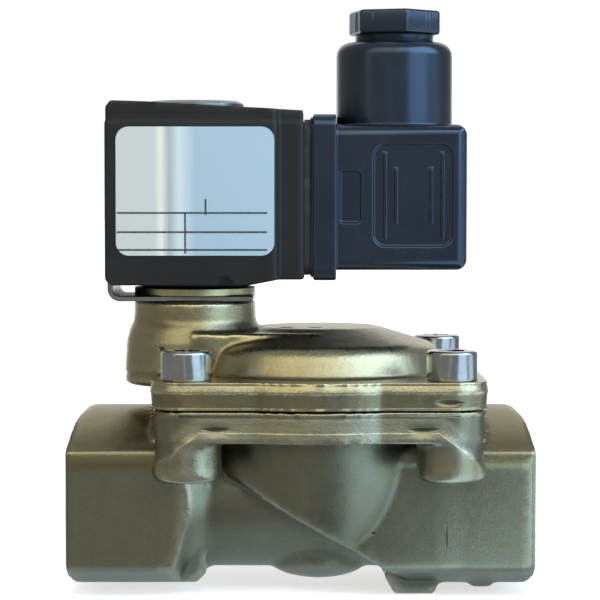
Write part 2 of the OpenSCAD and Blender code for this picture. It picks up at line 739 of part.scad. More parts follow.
// Forged cover with its dome, the bridge and the pilot tower
module cover() {
    color([0.58, 0.52, 0.32])
    difference() {
        union() {
            translate([seat_x, 0, z_cover]) linear_extrude(cover_flange_t) flange_outline();
            translate([seat_x, 0, z_cover])
                rotate_extrude()
                    polygon(dome_section(dome_r, dome_h, dome_flat_r, dome_drop, dome_edge_r, dome_lean));
            translate([tower_x, 0, z_cover]) tower_solid();
            translate([0, 0, z_cover + tower_under]) linear_extrude(dome_h - bridge_step - tower_under)
                polygon([
                    [tower_x, -tower_base_r + 0.3],
                    [seat_x, -bridge_half],
                    [seat_x, bridge_half],
                    [tower_x, tower_base_r - 0.3]
                ]);
        }
        translate([seat_x, 0, z_cover - cut])
            rotate_extrude()
                polygon(dome_section(annulus_r, dome_h - dome_wall + cut, dome_flat_r,
                    dome_drop, dome_edge_r - 1));
        translate([tower_x, 0, z_pilot_floor]) cylinder(h = tower_h, r = pilot_r);
        translate([tower_x, 0, z_o_ring_seat]) cylinder(h = tower_h, r = well_r);
        translate([tower_x, 0, z_pilot_floor - nozzle_root]) cylinder(h = tower_h, r = nozzle_r + fit_gap);
        translate([tower_x, 0, z_cover - cut]) cylinder(h = tower_h, r = pilot_drill_r);
        translate([tower_x + pilot_in_x, 0, z_cover + cover_flange_t])
            cylinder(h = tower_h, r = pilot_drill_r);
        at_screws() translate([0, 0, z_cover - cut])
            cylinder(h = cover_flange_t + 2 * cut, r = screw_r + free_gap);
        pry_slot(seat_x + bolt_half - slot_h, z_cover + slot_h + slot_depth);
        for (s = [-1, 1]) {
            translate([s * 2.45, -dome_flat_r / 2, z_dome - mark_depth]) cylinder(h = cut, r = mark_r);
        }
    }
}

// Four socket head cap screws
module cover_screws() {
    bevel = 0.5;
    color([0.72, 0.74, 0.76])
    at_screws() translate([0, 0, z_cover_top]) difference() {
        union() {
            translate([0, 0, -screw_len]) cylinder(h = screw_len + 1, r = screw_r);
            cylinder(h = screw_head_h - bevel, r = screw_head_r);
            translate([0, 0, screw_head_h - bevel])
                cylinder(h = bevel, r1 = screw_head_r, r2 = screw_head_r - bevel);
        }
        translate([0, 0, screw_head_h / 2]) cylinder(h = screw_head_h, r = socket_r, $fn = 6);
    }
}

// Rubber membrane with its thick rim, a bleed hole and the pilot hole
module diaphragm() {
    color([0.12, 0.12, 0.12])
    translate([seat_x, 0, z_seat]) difference() {
        union() {
            cylinder(h = membrane_t, r = annulus_r + 0.5);
            ring(rim_t, diaphragm_r, annulus_r + 0.3);
        }
        translate([0, 0, -cut]) cylinder(h = rim_t + 2 * cut, r = stud_r + fit_gap);
        translate([annulus_r - 2, 0, -cut]) cylinder(h = rim_t + 2 * cut, r = 0.6);
        translate([tower_x - seat_x, 0, -cut]) cylinder(h = rim_t + 2 * cut, r = pilot_drill_r);
    }
}

// Upper plate on the membrane, with a collar that centres the spring
module diaphragm_plate() {
    collar_r = close_spring_r * cos(180 / spring_steps) - close_wire_r - 0.3;
    color([0.70, 0.70, 0.68])
    translate([seat_x, 0, z_membrane]) {
        ring(plate_t, plate_r, stud_r + fit_gap);
        translate([0, 0, plate_t - 0.2]) ring(1.4, collar_r, collar_r - 0.8);
    }
}

// Lower plate inside the seat bore
module seat_plate() {
    color([0.70, 0.62, 0.36])
    translate([seat_x, 0, z_seat - seat_plate_t]) ring(seat_plate_t, seat_plate_r, stud_r + fit_gap);
}

// Stud that clamps the membrane between the two plates
module diaphragm_stud() {
    color([0.66, 0.66, 0.64])
    translate([seat_x, 0, z_seat - seat_plate_t]) {
        translate([0, 0, -1.5]) cylinder(h = 1.5, r = stud_r + 1.5);
        cylinder(h = seat_plate_t + membrane_t + plate_t + 2, r = stud_r);
    }
}

// Hexagon nut on the stud
module diaphragm_nut() {
    color([0.66, 0.66, 0.64])
    translate([seat_x, 0, z_plate]) difference() {
        cylinder(h = 1.8, r = stud_r + 1.7, $fn = 6);
        translate([0, 0, -cut]) cylinder(h = 2 * cut + 1.8, r = stud_r + fit_gap);
    }
}

// Closing spring between the upper plate and the dome
module diaphragm_spring() {
    color([0.60, 0.60, 0.60])
    translate([seat_x, 0, close_spring_z0])
        spring(close_spring_r, close_wire_r, close_spring_len, close_turns);
}

// Pilot seat pressed into the floor of the pilot chamber
module pilot_nozzle() {
    color([0.66, 0.66, 0.64])
    translate([tower_x, 0, z_pilot_floor - nozzle_root]) ring(nozzle_root + nozzle_h, nozzle_r, orifice_r);
}

// Guide tube with its threaded base
module guide_tube() {
    color([0.68, 0.68, 0.67])
    translate([tower_x, 0, 0]) {
        translate([0, 0, z_tube_base]) ring(base_len, well_r - fit_gap, tube_in_r);
        translate([0, 0, z_tube_base]) ring(z_tube_top - z_tube_base, tube_r, tube_in_r);
    }
}

// O-ring under the tube base
module tube_o_ring() {
    color([0.10, 0.10, 0.10])
    translate([tower_x, 0, z_o_ring_seat + o_ring_wire_r])
        rotate_extrude() translate([well_r - o_ring_wire_r - fit_gap, 0]) circle(r = o_ring_wire_r - 0.02);
}

// Fixed core that closes the tube, with the stud for the coil nut
module fixed_core() {
    color([0.64, 0.64, 0.63])
    translate([tower_x, 0, 0]) difference() {
        union() {
            translate([0, 0, z_core]) cylinder(h = core_len + 0.1, r = plunger_r);
            translate([0, 0, z_tube_top]) cylinder(h = z_core_top - z_tube_top, r = tube_r);
            translate([0, 0, z_tube_top])
                cylinder(h = z_yoke_top + coil_nut_h - z_tube_top - 0.2, r = core_stud_r);
        }
        translate([0, 0, z_core - cut]) ring(cut + 1, plunger_r - 0.6, plunger_r - 1.6);
    }
}

// Shading ring in the pole face of the core
module shading_ring() {
    color([0.72, 0.45, 0.30])
    translate([tower_x, 0, z_core]) ring(1 - fit_gap, plunger_r - 0.6 - fit_gap, plunger_r - 1.6 + fit_gap);
}

// Moving plunger with flow grooves, a seal pocket and a spring bore
module plunger() {
    color([0.62, 0.62, 0.61])
    translate([tower_x, 0, 0]) difference() {
        translate([0, 0, z_nozzle + 0.3]) cylinder(h = z_plunger_top - z_nozzle - 0.3, r = plunger_r);
        translate([0, 0, z_nozzle - cut]) cylinder(h = seal_t + cut, r = seal_r + fit_gap);
        translate([0, 0, z_plunger_top - spring_bore_depth])
            cylinder(h = spring_bore_depth + cut, r = return_spring_r + return_wire_r + 0.2);
        for (s = [-1, 1]) {
            translate([-groove_w / 2, s * plunger_r - 0.6, z_nozzle])
                cube([groove_w, 1.2, z_plunger_top - z_nozzle + cut]);
        }
    }
}

// Rubber seal in the plunger's tip
module plunger_seal() {
    color([0.15, 0.14, 0.14])
    translate([tower_x, 0, z_nozzle]) cylinder(h = seal_t - fit_gap, r = seal_r);
}

// Return spring between the plunger and the fixed core
module plunger_spring() {
    color([0.60, 0.60, 0.60])
    translate([tower_x, 0, return_spring_z0])
        spring(return_spring_r, return_wire_r, return_spring_len, return_turns);
}

// Side view of the yoke strap: one upright and two legs that end beyond the coil axis
module yoke_profile(grow) {
    len = coil_half_x + yoke_reach + 20;
    high = z_yoke_top - z_yoke;
    intersection() {
        difference() {
            translate([len / 2 - grow, high / 2])
                rounded_rect(len + 2 * grow, high + 2 * grow, yoke_bend_r + grow);
            translate([yoke_t + len / 2 + grow, high / 2])
                rounded_rect(len - 2 * grow, high - 2 * yoke_t - 2 * grow, yoke_bend_r - yoke_t);
        }
        translate([-grow, -grow]) square([coil_half_x + yoke_reach + 2 * grow, high + 2 * grow]);
    }
}

// Steel yoke around the coil
module yoke() {
    color([0.55, 0.56, 0.57])
    difference() {
        translate([coil_left, 0, z_yoke])
            rotate([90, 0, 0]) linear_extrude(yoke_w, center = true) yoke_profile(0);
        translate([tower_x, 0, z_yoke - cut]) cylinder(h = big, r = tube_r + slip_gap);
    }
}

// Yellow steel washer between the yoke and the coil
module flux_washer() {
    color([0.70, 0.58, 0.28])
    translate([tower_x, 0, z_washer]) ring(washer_t, tower_r, tube_r + slip_gap);
}

// Spool of the winding
module bobbin() {
    color([0.80, 0.78, 0.70])
    translate([tower_x, 0, 0]) {
        translate([0, 0, z_coil_boss])
            ring(z_spool_top + roof_under - z_coil_boss, bobbin_r, bobbin_bore_r);
        for (z = [z_spool, z_spool_top - bobbin_flange_t]) {
            translate([0, 0, z]) ring(bobbin_flange_t, bobbin_flange_r, bobbin_bore_r);
        }
    }
}

// Copper winding as one body
module winding() {
    color([0.72, 0.42, 0.26])
    translate([tower_x, 0, z_spool + bobbin_flange_t]) ring(winding_len, winding_r, bobbin_r + fit_gap);
}

// Side view of the coil housing: level top on the yoke side, falling towards the connector block
module coil_profile() {
    right = 2 * coil_half_x + block_len;
    high = z_coil_top - z_coil;
    polygon([
        [0, 1],
        [1, 0],
        [2 * coil_half_x - 5, 0],
        [2 * coil_half_x, z_plug - block_half - z_coil],
        [right, z_plug - block_half - z_coil],
        [right, high - roof_fall],
        [7, high - 0.2],
        [1, high],
        [0, high - 1]
    ]);
}

// Plan of the coil housing
module coil_plan() {
    translate([coil_half_x, 0]) rounded_rect(2 * coil_half_x, 2 * coil_half_y, coil_round);
    translate([coil_half_x, -block_half]) square([coil_half_x + block_len, 2 * block_half]);
}

// Moulded coil housing
module coil_housing() {
    color([0.10, 0.10, 0.11])
    difference() {
        union() {
            translate([coil_left, 0, 0]) intersection() {
                translate([0, 0, z_coil]) linear_extrude(z_coil_top - z_coil) coil_plan();
                translate([0, 0, z_coil]) rotate([90, 0, 0])
                    linear_extrude(3 * coil_half_y, center = true) coil_profile();
            }
            translate([tower_x, 0, z_coil_boss]) cylinder(h = coil_boss_h + 1, r = coil_boss_r);
        }
        translate([coil_left, 0, z_yoke]) rotate([90, 0, 0])
            linear_extrude(yoke_w + 2 * free_gap, center = true) yoke_profile(fit_gap);
        translate([coil_left - cut, -yoke_w / 2 - free_gap, z_yoke_top - yoke_t / 2])
            cube([coil_half_x + yoke_reach + free_gap + cut, yoke_w + 2 * free_gap, yoke_t + roof_rim]);
        translate([coil_left - cut, -yoke_w / 2 - free_gap, z_yoke])
            cube([cut + yoke_t / 2, yoke_w + 2 * free_gap, big]);
        translate([tower_x, 0, z_coil_boss - cut]) cylinder(h = big, r = bobbin_r + fit_gap);
        translate([tower_x, 0, z_spool]) cylinder(h = spool_len, r = spool_cavity_r);
        translate([tower_x + notch_x, -coil_half_y - cut, z_coil])
            rotate([-90, 0, 0]) cylinder(h = cut + 0.5, r = notch_r);
        translate([plug_face - blade_root, 0, 0]) at_blades()
            translate([0, -blade_w / 2 - fit_gap, -blade_t / 2 - fit_gap])
                cube([blade_root + cut, blade_w + 2 * fit_gap, blade_t + 2 * fit_gap]);
        translate([plug_face - block_len + 0.4, 0, z_plug])
            rod_x(big, plug_screw_r + 1.2, plug_screw_r + 1.2);
    }
}

// Rating label on the front of the coil
module rating_label() {
    color([0.74, 0.80, 0.86])
    translate([tower_x + label_shift, -coil_half_y, z_coil_mid + label_lift]) rotate([90, 0, 0])
        linear_extrude(label_t) rounded_rect(label_w, label_h, label_corner);
}

// Low round nut that holds the coil on the core, with two spanner holes
module coil_nut() {
    edge = 0.5;
    color([0.50, 0.52, 0.51])
    translate([tower_x, 0, z_yoke_top]) difference() {
        union() {
            cylinder(h = coil_nut_h - edge, r = coil_nut_r);
            translate([0, 0, coil_nut_h - edge])
                cylinder(h = edge, r1 = coil_nut_r, r2 = coil_nut_r - 2 * edge);
        }
        translate([0, 0, -cut]) cylinder(h = big, r = core_stud_r + fit_gap);
        for (s = [-1, 1]) {
            translate([s * (core_stud_r + coil_nut_r) / 2, 0, -cut]) cylinder(h = big, r = 0.9);
        }
    }
}

// Brass nut in the connector block for the plug screw
module insert_nut() {
    depth = block_len - 0.4;
    color([0.72, 0.60, 0.30])
    translate([plug_face - depth, 0, z_plug]) rotate([0, 90, 0])
        ring(depth, plug_screw_r + 1.2 - fit_gap, plug_screw_r + fit_gap);
}

// Three flat blades of the coil
module connector_blades() {
    color([0.70, 0.70, 0.68])
    translate([plug_face - blade_root, 0, 0]) at_blades()
        translate([0, -blade_w / 2, -blade_t / 2]) cube([blade_root + blade_len, blade_w, blade_t]);
}

// Flat gasket between the coil and the plug, open in the middle
module connector_gasket() {
    inner = plug_in_half - 0.5;
    outer = plug_flange_half - 0.9;
    color([0.16, 0.16, 0.17])
    translate([plug_face, 0, z_plug]) rotate([90, 0, 90]) linear_extrude(gasket_t) difference() {
        rounded_rect(2 * outer, 2 * outer, plug_round);
        square(2 * inner, center = true);
    }
}

// Terminal block in the plug
module plug_insert() {
    color([0.22, 0.22, 0.23])
    difference() {
        translate([plug_x0, -insert_half, z_plug - insert_half])
            cube([insert_len, 2 * insert_half, 2 * insert_half]);
        translate([plug_x0 - cut, 0, z_plug]) rod_x(big, plug_screw_r + free_gap, plug_screw_r + free_gap);
        translate([insert_x1 - terminal_len, 0, 0]) at_blades()
            translate([0, -terminal_w / 2 - fit_gap, -terminal_h / 2 - fit_gap])
                cube([big, terminal_w + 2 * fit_gap, terminal_h + 2 * fit_gap]);
        translate([plug_x0 - cut, 0, 0]) at_blades()
            translate([0, -blade_w / 2 - free_gap, -blade_t / 2 - free_gap])
                cube([insert_len, blade_w + 2 * free_gap, blade_t + 2 * free_gap]);
    }
}

// Three brass sockets around the blades
module plug_terminals() {
    slot = plug_face + blade_len + 0.3 - (insert_x1 - terminal_len);
    color([0.74, 0.62, 0.32])
    translate([insert_x1 - terminal_len, 0, 0]) at_blades() difference() {
        translate([0, -terminal_w / 2, -terminal_h / 2]) cube([terminal_len, terminal_w, terminal_h]);
        translate([-cut, -blade_w / 2 - fit_gap, -blade_t / 2 - fit_gap])
            cube([slot + cut, blade_w + 2 * fit_gap, blade_t + 2 * fit_gap]);
        translate([slot - cut, 0, 0]) rod_x(big, terminal_h / 2 - 0.4, terminal_h / 2 - 0.4);
    }
}

// Three clamping screws in the sockets
module terminal_screws() {
    r = terminal_h / 2 - 0.4 - fit_gap;
    root = insert_x1 - plug_face - blade_len - 0.5;
    color([0.70, 0.72, 0.74])
    translate([insert_x1, 0, 0]) at_blades() difference() {
        union() {
            translate([-root, 0, 0]) rod_x(root + 0.5, r, r);
            rod_x(1.2, r + 0.7, r + 0.7);
        }
        translate([0.7, -big / 2, -0.25]) cube([cut, big, 0.5]);
    }
}

// Solid outside of the plug: flange, housing and gland barrel
module plug_outside() {
    flange_bevel = 0.5;
    flange_face = 2 * plug_flange_half - 2 * flange_bevel;
    translate([plug_x0, 0, z_plug]) rotate([90, 0, 90]) {
        translate([0, 0, flange_bevel]) linear_extrude(plug_flange_t - flange_bevel)
            rounded_rect(2 * plug_flange_half, 2 * plug_flange_half, plug_round);
        linear_extrude(plug_flange_t)
            rounded_rect(flange_face, flange_face, plug_round);
    }
    translate([plug_x2 - plug_len / 2 - plug_round, 0, z_plug])
        soft_box(plug_len + 2 * plug_round, 2 * plug_half, 2 * plug_half, plug_round);
    translate([gland_x, 0, z_plug]) rotate_extrude()
        polygon(concat([[0, 0], [barrel_r, 0]],
            arc([barrel_r - barrel_round, z_barrel - z_plug - barrel_round], barrel_round, 0, 90, 6),
            [[0, z_barrel - z_plug]]));
}

// Raised lines and bare recesses on one side of the plug, cut from the local -Y face
module plug_side_cut() {
    rib = 0.35;
    panel_x = gland_x + 2.8;
    translate([panel_x, -plug_half - cut, z_plug + panel_rise]) rotate([-90, 0, 0])
        linear_extrude(cut + panel_depth)
        difference() {
            rounded_rect(panel_w, panel_h, 2);
            for (s = [-1, 1]) {
                translate([s * (panel_w / 2 - 1.85), 0]) square([rib, panel_h - 2.8], center = true);
                translate([s * (panel_w / 2 - 3.75), 0]) square([rib, panel_h - 8.1], center = true);
            }
        }
    translate([plug_x1 + 2.4, -plug_half - cut, z_plug]) rotate([-90, 0, 0])
        linear_extrude(cut + 0.6 * panel_depth) rounded_rect(3.5, panel_h / 2, 0.6);
}

// Plug cap with its flange, cavity, screw post and gland barrel
module plug_housing() {
    cavity_x1 = plug_x2 - plug_end_wall;
    post_x0 = insert_x1 + 1.6;
    color([0.12, 0.13, 0.16])
    difference() {
        plug_outside();
        difference() {
            union() {
                translate([plug_x0 - cut, -plug_in_half, z_plug - plug_in_half])
                    cube([cavity_x1 - plug_x0 + cut, 2 * plug_in_half, 2 * plug_in_half]);
                translate([gland_x, 0, z_plug]) cylinder(h = z_barrel - z_plug, r = gland_bore_r - 1.4);
                translate([gland_x, 0, z_gland_seat])
                    cylinder(h = gland_thread_len + cut, r = gland_bore_r);
            }
            translate([post_x0, 0, z_plug]) rod_x(big, post_r, post_r);
        }
        translate([plug_x0, 0, z_plug]) rod_x(big, plug_screw_r + free_gap, plug_screw_r + free_gap);
        translate([head_x - 2 * seal_wire_r, 0, z_plug])
            rod_x(big, plug_head_r + free_gap, plug_head_r + free_gap);
        plug_side_cut();
        mirror([0, 1, 0]) plug_side_cut();
    }
}

// Central screw of the plug with a slotted head
module plug_screw() {
    tip = plug_face - block_len + 1.2;
    color([0.70, 0.72, 0.74])
    difference() {
        union() {
            translate([tip, 0, z_plug]) rod_x(head_x - tip + 0.5, plug_screw_r, plug_screw_r);
            translate([head_x, 0, z_plug]) rod_x(plug_head_h, plug_head_r, plug_head_r);
        }
        translate([head_x + plug_head_h / 2, -big / 2, z_plug - 0.4]) cube([plug_head_h, big, 0.8]);
    }
}

// O-ring under the head of the plug screw
module screw_seal() {
    color([0.10, 0.10, 0.10])
    translate([head_x - seal_wire_r, 0, z_plug]) rotate([0, 90, 0])
        rotate_extrude() translate([plug_screw_r + seal_wire_r + 0.05, 0]) circle(r = seal_wire_r - 0.02);
}

// Rubber ring that seals the cable
module cable_grommet() {
    color([0.14, 0.14, 0.15])
    translate([gland_x, 0, z_gland_seat]) ring(grommet_h, neck_r, cable_r + free_gap);
}

// Pressure washer between the grommet and the gland nut
module gland_washer() {
    color([0.68, 0.69, 0.70])
    translate([gland_x, 0, z_gland_washer]) ring(gland_washer_t, neck_r, cable_r + free_gap);
}

// Hexagonal gland nut with its threaded neck
module gland_nut() {
    bevel = 0.5;
    color([0.13, 0.14, 0.17])
    translate([gland_x, 0, 0]) difference() {
        union() {
            translate([0, 0, z_neck]) cylinder(h = z_hex - z_neck + 1, r = neck_r);
            translate([0, 0, z_hex]) rotate([0, 0, gland_turn]) intersection() {
                cylinder(h = gland_hex_h, r = gland_hex_r, $fn = 6);
                cylinder(h = gland_hex_h, r1 = gland_hex_r + gland_hex_h - bevel, r2 = gland_hex_r - bevel);
            }
        }
        translate([0, 0, z_neck - cut]) cylinder(h = big, r = cable_r);
        translate([0, 0, z_hex + gland_hex_h - bevel])
            cylinder(h = 2 * bevel, r1 = cable_r, r2 = cable_r + 2 * bevel);
    }
}

valve_body();
cover();
cover_screws();
diaphragm();
diaphragm_plate();
seat_plate();
diaphragm_stud();
diaphragm_nut();
diaphragm_spring();
pilot_nozzle();
guide_tube();
tube_o_ring();
fixed_core();
shading_ring();
plunger();
plunger_seal();
plunger_spring();
yoke();
flux_washer();
bobbin();
winding();
coil_housing();
rating_label();
coil_nut();
insert_nut();
connector_blades();
connector_gasket();
plug_insert();
plug_terminals();
terminal_screws();
plug_housing();
plug_screw();
screw_seal();
cable_grommet();
gland_washer();
gland_nut();
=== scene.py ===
"""Dressed model of a two-port brass solenoid valve with a bolted cover, a coil and a cable plug."""
import json
import logging
import math
from dataclasses import dataclass
from enum import Enum
from typing import Any, Callable, Dict, Mapping, Optional, Sequence, Tuple, Union

import bmesh
import bpy
import numpy as np
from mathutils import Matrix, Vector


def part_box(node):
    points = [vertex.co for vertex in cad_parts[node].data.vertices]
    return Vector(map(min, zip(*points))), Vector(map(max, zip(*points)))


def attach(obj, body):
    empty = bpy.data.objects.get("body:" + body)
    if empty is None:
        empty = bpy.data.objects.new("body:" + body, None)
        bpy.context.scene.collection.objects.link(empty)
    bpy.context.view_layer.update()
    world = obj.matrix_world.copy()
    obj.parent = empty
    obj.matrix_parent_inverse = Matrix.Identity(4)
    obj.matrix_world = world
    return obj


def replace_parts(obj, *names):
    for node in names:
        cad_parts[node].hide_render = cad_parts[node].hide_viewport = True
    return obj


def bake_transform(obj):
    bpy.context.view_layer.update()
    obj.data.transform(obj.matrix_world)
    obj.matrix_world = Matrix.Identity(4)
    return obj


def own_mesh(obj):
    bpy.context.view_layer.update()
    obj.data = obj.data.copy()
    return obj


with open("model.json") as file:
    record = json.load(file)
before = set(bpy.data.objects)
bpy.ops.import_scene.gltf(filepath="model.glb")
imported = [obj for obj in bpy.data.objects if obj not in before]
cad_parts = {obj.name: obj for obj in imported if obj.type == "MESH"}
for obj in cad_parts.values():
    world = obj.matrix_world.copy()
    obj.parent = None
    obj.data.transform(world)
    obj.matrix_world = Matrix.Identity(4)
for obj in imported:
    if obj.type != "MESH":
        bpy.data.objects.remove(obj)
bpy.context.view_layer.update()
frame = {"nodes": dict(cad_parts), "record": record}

LOG = logging.getLogger("valve")
MM = 0.001
Colour = Tuple[float, float, float]
Point = Tuple[float, float, float]
Pair = Tuple[float, float]
Levels = Tuple[float, ...]


def mm(*lengths: float) -> Levels:
    """Lengths given in millimetres, as metres."""
    return tuple(length * MM for length in lengths)


class Body(Enum):
    """Moving bodies of the valve, by their names in the frame."""

    VALVE = "valve"
    DIAPHRAGM = "diaphragm_unit"
    PLUNGER = "plunger_unit"
    COIL = "coil_unit"


class Slot(Enum):
    """Material slots of the record."""

    BODY_BRASS = "body_brass"
    COVER_BRASS = "cover_brass"
    TURNED_BRASS = "turned_brass"
    ZINC = "zinc_steel"
    STAINLESS = "stainless"
    YOKE = "yoke_steel"
    YELLOW = "yellow_steel"
    NUT = "nut_steel"
    COPPER = "copper"
    RUBBER = "rubber"
    BOBBIN = "bobbin_plastic"
    COIL = "coil_plastic"
    PLUG = "plug_plastic"
    LABEL = "label_foil"


def operator(operation: str, swapped: bool = False) -> Callable[..., "Value"]:
    """Make one arithmetic method of Value.

    Args:
        operation: Blender's name of the operation.
        swapped: Whether the value is the second operand.

    Returns:
        The method.
    """
    def method(self: "Value", other: "Number" = 0.0) -> "Value":
        """Combine the value with a number or with another value."""
        return self.shader.math(operation, *((other, self) if swapped else (self, other)))

    return method


class Value:
    """A number that varies over a surface: a socket that Python arithmetic can combine."""

    def __init__(self, shader: "Shader", socket: bpy.types.NodeSocket) -> None:
        """Keep the socket and the shader that it belongs to."""
        self.shader = shader
        self.socket = socket

    __add__ = operator("ADD")
    __radd__ = operator("ADD", True)
    __sub__ = operator("SUBTRACT")
    __rsub__ = operator("SUBTRACT", True)
    __mul__ = operator("MULTIPLY")
    __truediv__ = operator("DIVIDE")
    __pow__ = operator("POWER")
    __abs__ = operator("ABSOLUTE")

    def clip(self) -> "Value":
        """The value held between 0 and 1."""
        return self.shader.math("MINIMUM", self.shader.math("MAXIMUM", self, 0.0), 1.0)

    def rise(self, low: float, high: float) -> "Value":
        """Smooth step from 0 at low to 1 at high."""
        sockets = {"Value": self, "From Min": low, "From Max": high}
        return self.shader.value("ShaderNodeMapRange", {"interpolation_type": "SMOOTHSTEP"}, sockets)

    def wave(self, period: float) -> "Value":
        """Sine of the value with the given period, between 0 and 1."""
        return self.shader.math("SINE", self * (2 * math.pi / period)) * 0.5 + 0.5

    def between(self, low: float, high: float, soft: float) -> "Value":
        """Mask that is 1 from low to high, with borders of the half width soft."""
        return self.rise(low - soft, low + soft) * (1 - self.rise(high - soft, high + soft))


Number = Union[float, Value]
Link = Union[float, int, Sequence[float], Value, bpy.types.NodeSocket]


class Shader:
    """Node tree of one material, or of the world."""

    def __init__(self, owner: Union[str, bpy.types.World]) -> None:
        """Start an empty node tree.

        Args:
            owner: Name of a new material, or the world.
        """
        self.material = bpy.data.materials.new(owner) if isinstance(owner, str) else owner
        self.material.use_nodes = True
        self.tree = self.material.node_tree
        self.tree.nodes.clear()
        self._where: Optional[bpy.types.NodeSocket] = None

    def node(self, kind: str, settings: Optional[Mapping[str, Any]] = None,
             sockets: Optional[Mapping[Any, Link]] = None) -> bpy.types.Node:
        """Add any node.

        Args:
            kind: Blender's type name of the node.
            settings: Properties of the node, set first; "stops" holds a ramp's stops.
            sockets: Values or links of the node's inputs, by name or number.

        Returns:
            The new node.
        """
        made = self.tree.nodes.new(kind)
        for key, value in (settings or {}).items():
            if key == "stops":
                ramp = made.color_ramp.elements
                while len(ramp) < len(value):
                    ramp.new(0.5)
                for stop, (place, colour) in zip(ramp, value):
                    stop.position = place
                    stop.color = (*colour, 1.0)
            else:
                setattr(made, key, value)
        for key, value in (sockets or {}).items():
            self.feed(made.inputs[key], value)
        return made

    def feed(self, socket: bpy.types.NodeSocket, value: Link) -> None:
        """Link a socket to a value, or set it to a constant.

        Args:
            socket: Input that receives the value.
            value: A value, a socket, a number, a colour or a vector.
        """
        if isinstance(value, Value):
            value = value.socket
        if isinstance(value, bpy.types.NodeSocket):
            self.tree.links.new(value, socket)
        elif isinstance(value, (int, float)):
            socket.default_value = value
        elif socket.type == "RGBA":
            socket.default_value = (*value, 1.0)
        else:
            socket.default_value = tuple(value)

    def value(self, kind: str, settings: Optional[Mapping[str, Any]] = None,
              sockets: Optional[Mapping[Any, Link]] = None, out: Union[int, str] = 0) -> Value:
        """Add any node and take one of its outputs as a value."""
        return Value(self, self.node(kind, settings, sockets).outputs[out])

    def math(self, operation: str, first: Number, second: Number = 0.0) -> Value:
        """Result of one Math node, by Blender's name of its operation."""
        return self.value("ShaderNodeMath", {"operation": operation}, {0: first, 1: second})

    def where(self) -> bpy.types.NodeSocket:
        """Object coordinates, in metres."""
        if self._where is None:
            self._where = self.node("ShaderNodeTexCoord").outputs["Object"]
        return self._where

    def moved(self, centre: Point, scale: Point) -> bpy.types.NodeSocket:
        """Object coordinates about another origin, stretched along the axes."""
        sockets = {"Vector": self.where(), "Location": centre, "Scale": scale}
        return self.node("ShaderNodeMapping", {"vector_type": "TEXTURE"}, sockets).outputs[0]

    def axes(self) -> Tuple[Value, Value, Value]:
        """The three parts of the object coordinates as values."""
        split = self.node("ShaderNodeSeparateXYZ", None, {0: self.where()})
        return tuple(Value(self, out) for out in split.outputs)

    def noise(self, size: float, detail: float = 3.0, rough: float = 0.55,
              coords: Optional[bpy.types.NodeSocket] = None) -> Value:
        """Noise around 0.5: clouds of a size in metres, with finer layers that each keep a share, rough."""
        sockets = {"Vector": coords or self.where(), "Scale": 1.0 / size, "Detail": detail,
                   "Roughness": rough}
        return self.value("ShaderNodeTexNoise", {"noise_dimensions": "3D"}, sockets)

    def attribute(self, name: str) -> Value:
        """A number stored on the mesh, or 0 where the mesh has none."""
        return self.value("ShaderNodeAttribute", {"attribute_name": name}, None, "Fac")

    def mix(self, first: Link, second: Link, share: Number) -> bpy.types.NodeSocket:
        """Blend of two colours, by the share of the second."""
        return self.node("ShaderNodeMix", {"data_type": "RGBA"}, {0: share, 6: first, 7: second}).outputs[2]

    def bump(self, height: Value, depth: float, strength: float = 1.0) -> bpy.types.NodeSocket:
        """Normal of a fine relief: height from 0 to 1 over a depth in metres, of which a share shows."""
        sockets = {"Strength": strength, "Distance": depth, "Height": height}
        return self.node("ShaderNodeBump", None, sockets).outputs[0]

    def glow(self, colour: Link, strength: float = 1.0) -> bpy.types.Node:
        """Shader that gives off one colour."""
        return self.node("ShaderNodeEmission", None, {"Color": colour, "Strength": strength})

    def close(self, surface: bpy.types.Node, kind: str = "Material") -> bpy.types.Material:
        """Close the tree with its output node and give back its owner."""
        self.node(f"ShaderNodeOutput{kind}", None, {"Surface": surface.outputs[0]})
        return self.material

    def surface(self, colour: Link, roughness: Number, metallic: Number = 0.0,
                normal: Optional[bpy.types.NodeSocket] = None,
                fixed: Optional[Mapping[str, Link]] = None) -> bpy.types.Material:
        """Close the tree with one Principled shader.

        Args:
            colour: Base colour.
            roughness: Roughness.
            metallic: Metallic share.
            normal: Bent normal, if any.
            fixed: Constants for other inputs, by name.

        Returns:
            The finished material.
        """
        sockets: Dict[str, Link] = {"Base Color": colour, "Roughness": roughness, "Metallic": metallic}
        sockets.update(fixed or {})
        if normal is not None:
            sockets["Normal"] = normal
        return self.close(self.node("ShaderNodeBsdfPrincipled", None, sockets))


@dataclass(frozen=True)
class Nick:
    """A small dark mark in the front of a forging, an ellipse by its half width and half height; its darkness
    is painted shade in its small recess: a pit, a scratch, a pry slot.
    """

    x: float
    z: float
    wide: float
    high: float
    depth: float = 0.7
    front: Levels = mm(-8, -6)

    def mask(self, s: Shader) -> Value:
        """Mask of the mark on the front half of the piece: 1 within the ellipse.

        Args:
            s: Shader that uses it.

        Returns:
            The mask.
        """
        x, y, z = s.axes()
        across, along = (x - self.x) / self.wide, (z - self.z) / self.high
        away = (across * across + along * along) ** 0.5
        return (1 - away.rise(0.6, 1.1)) * (1 - y.rise(*self.front)) * self.depth


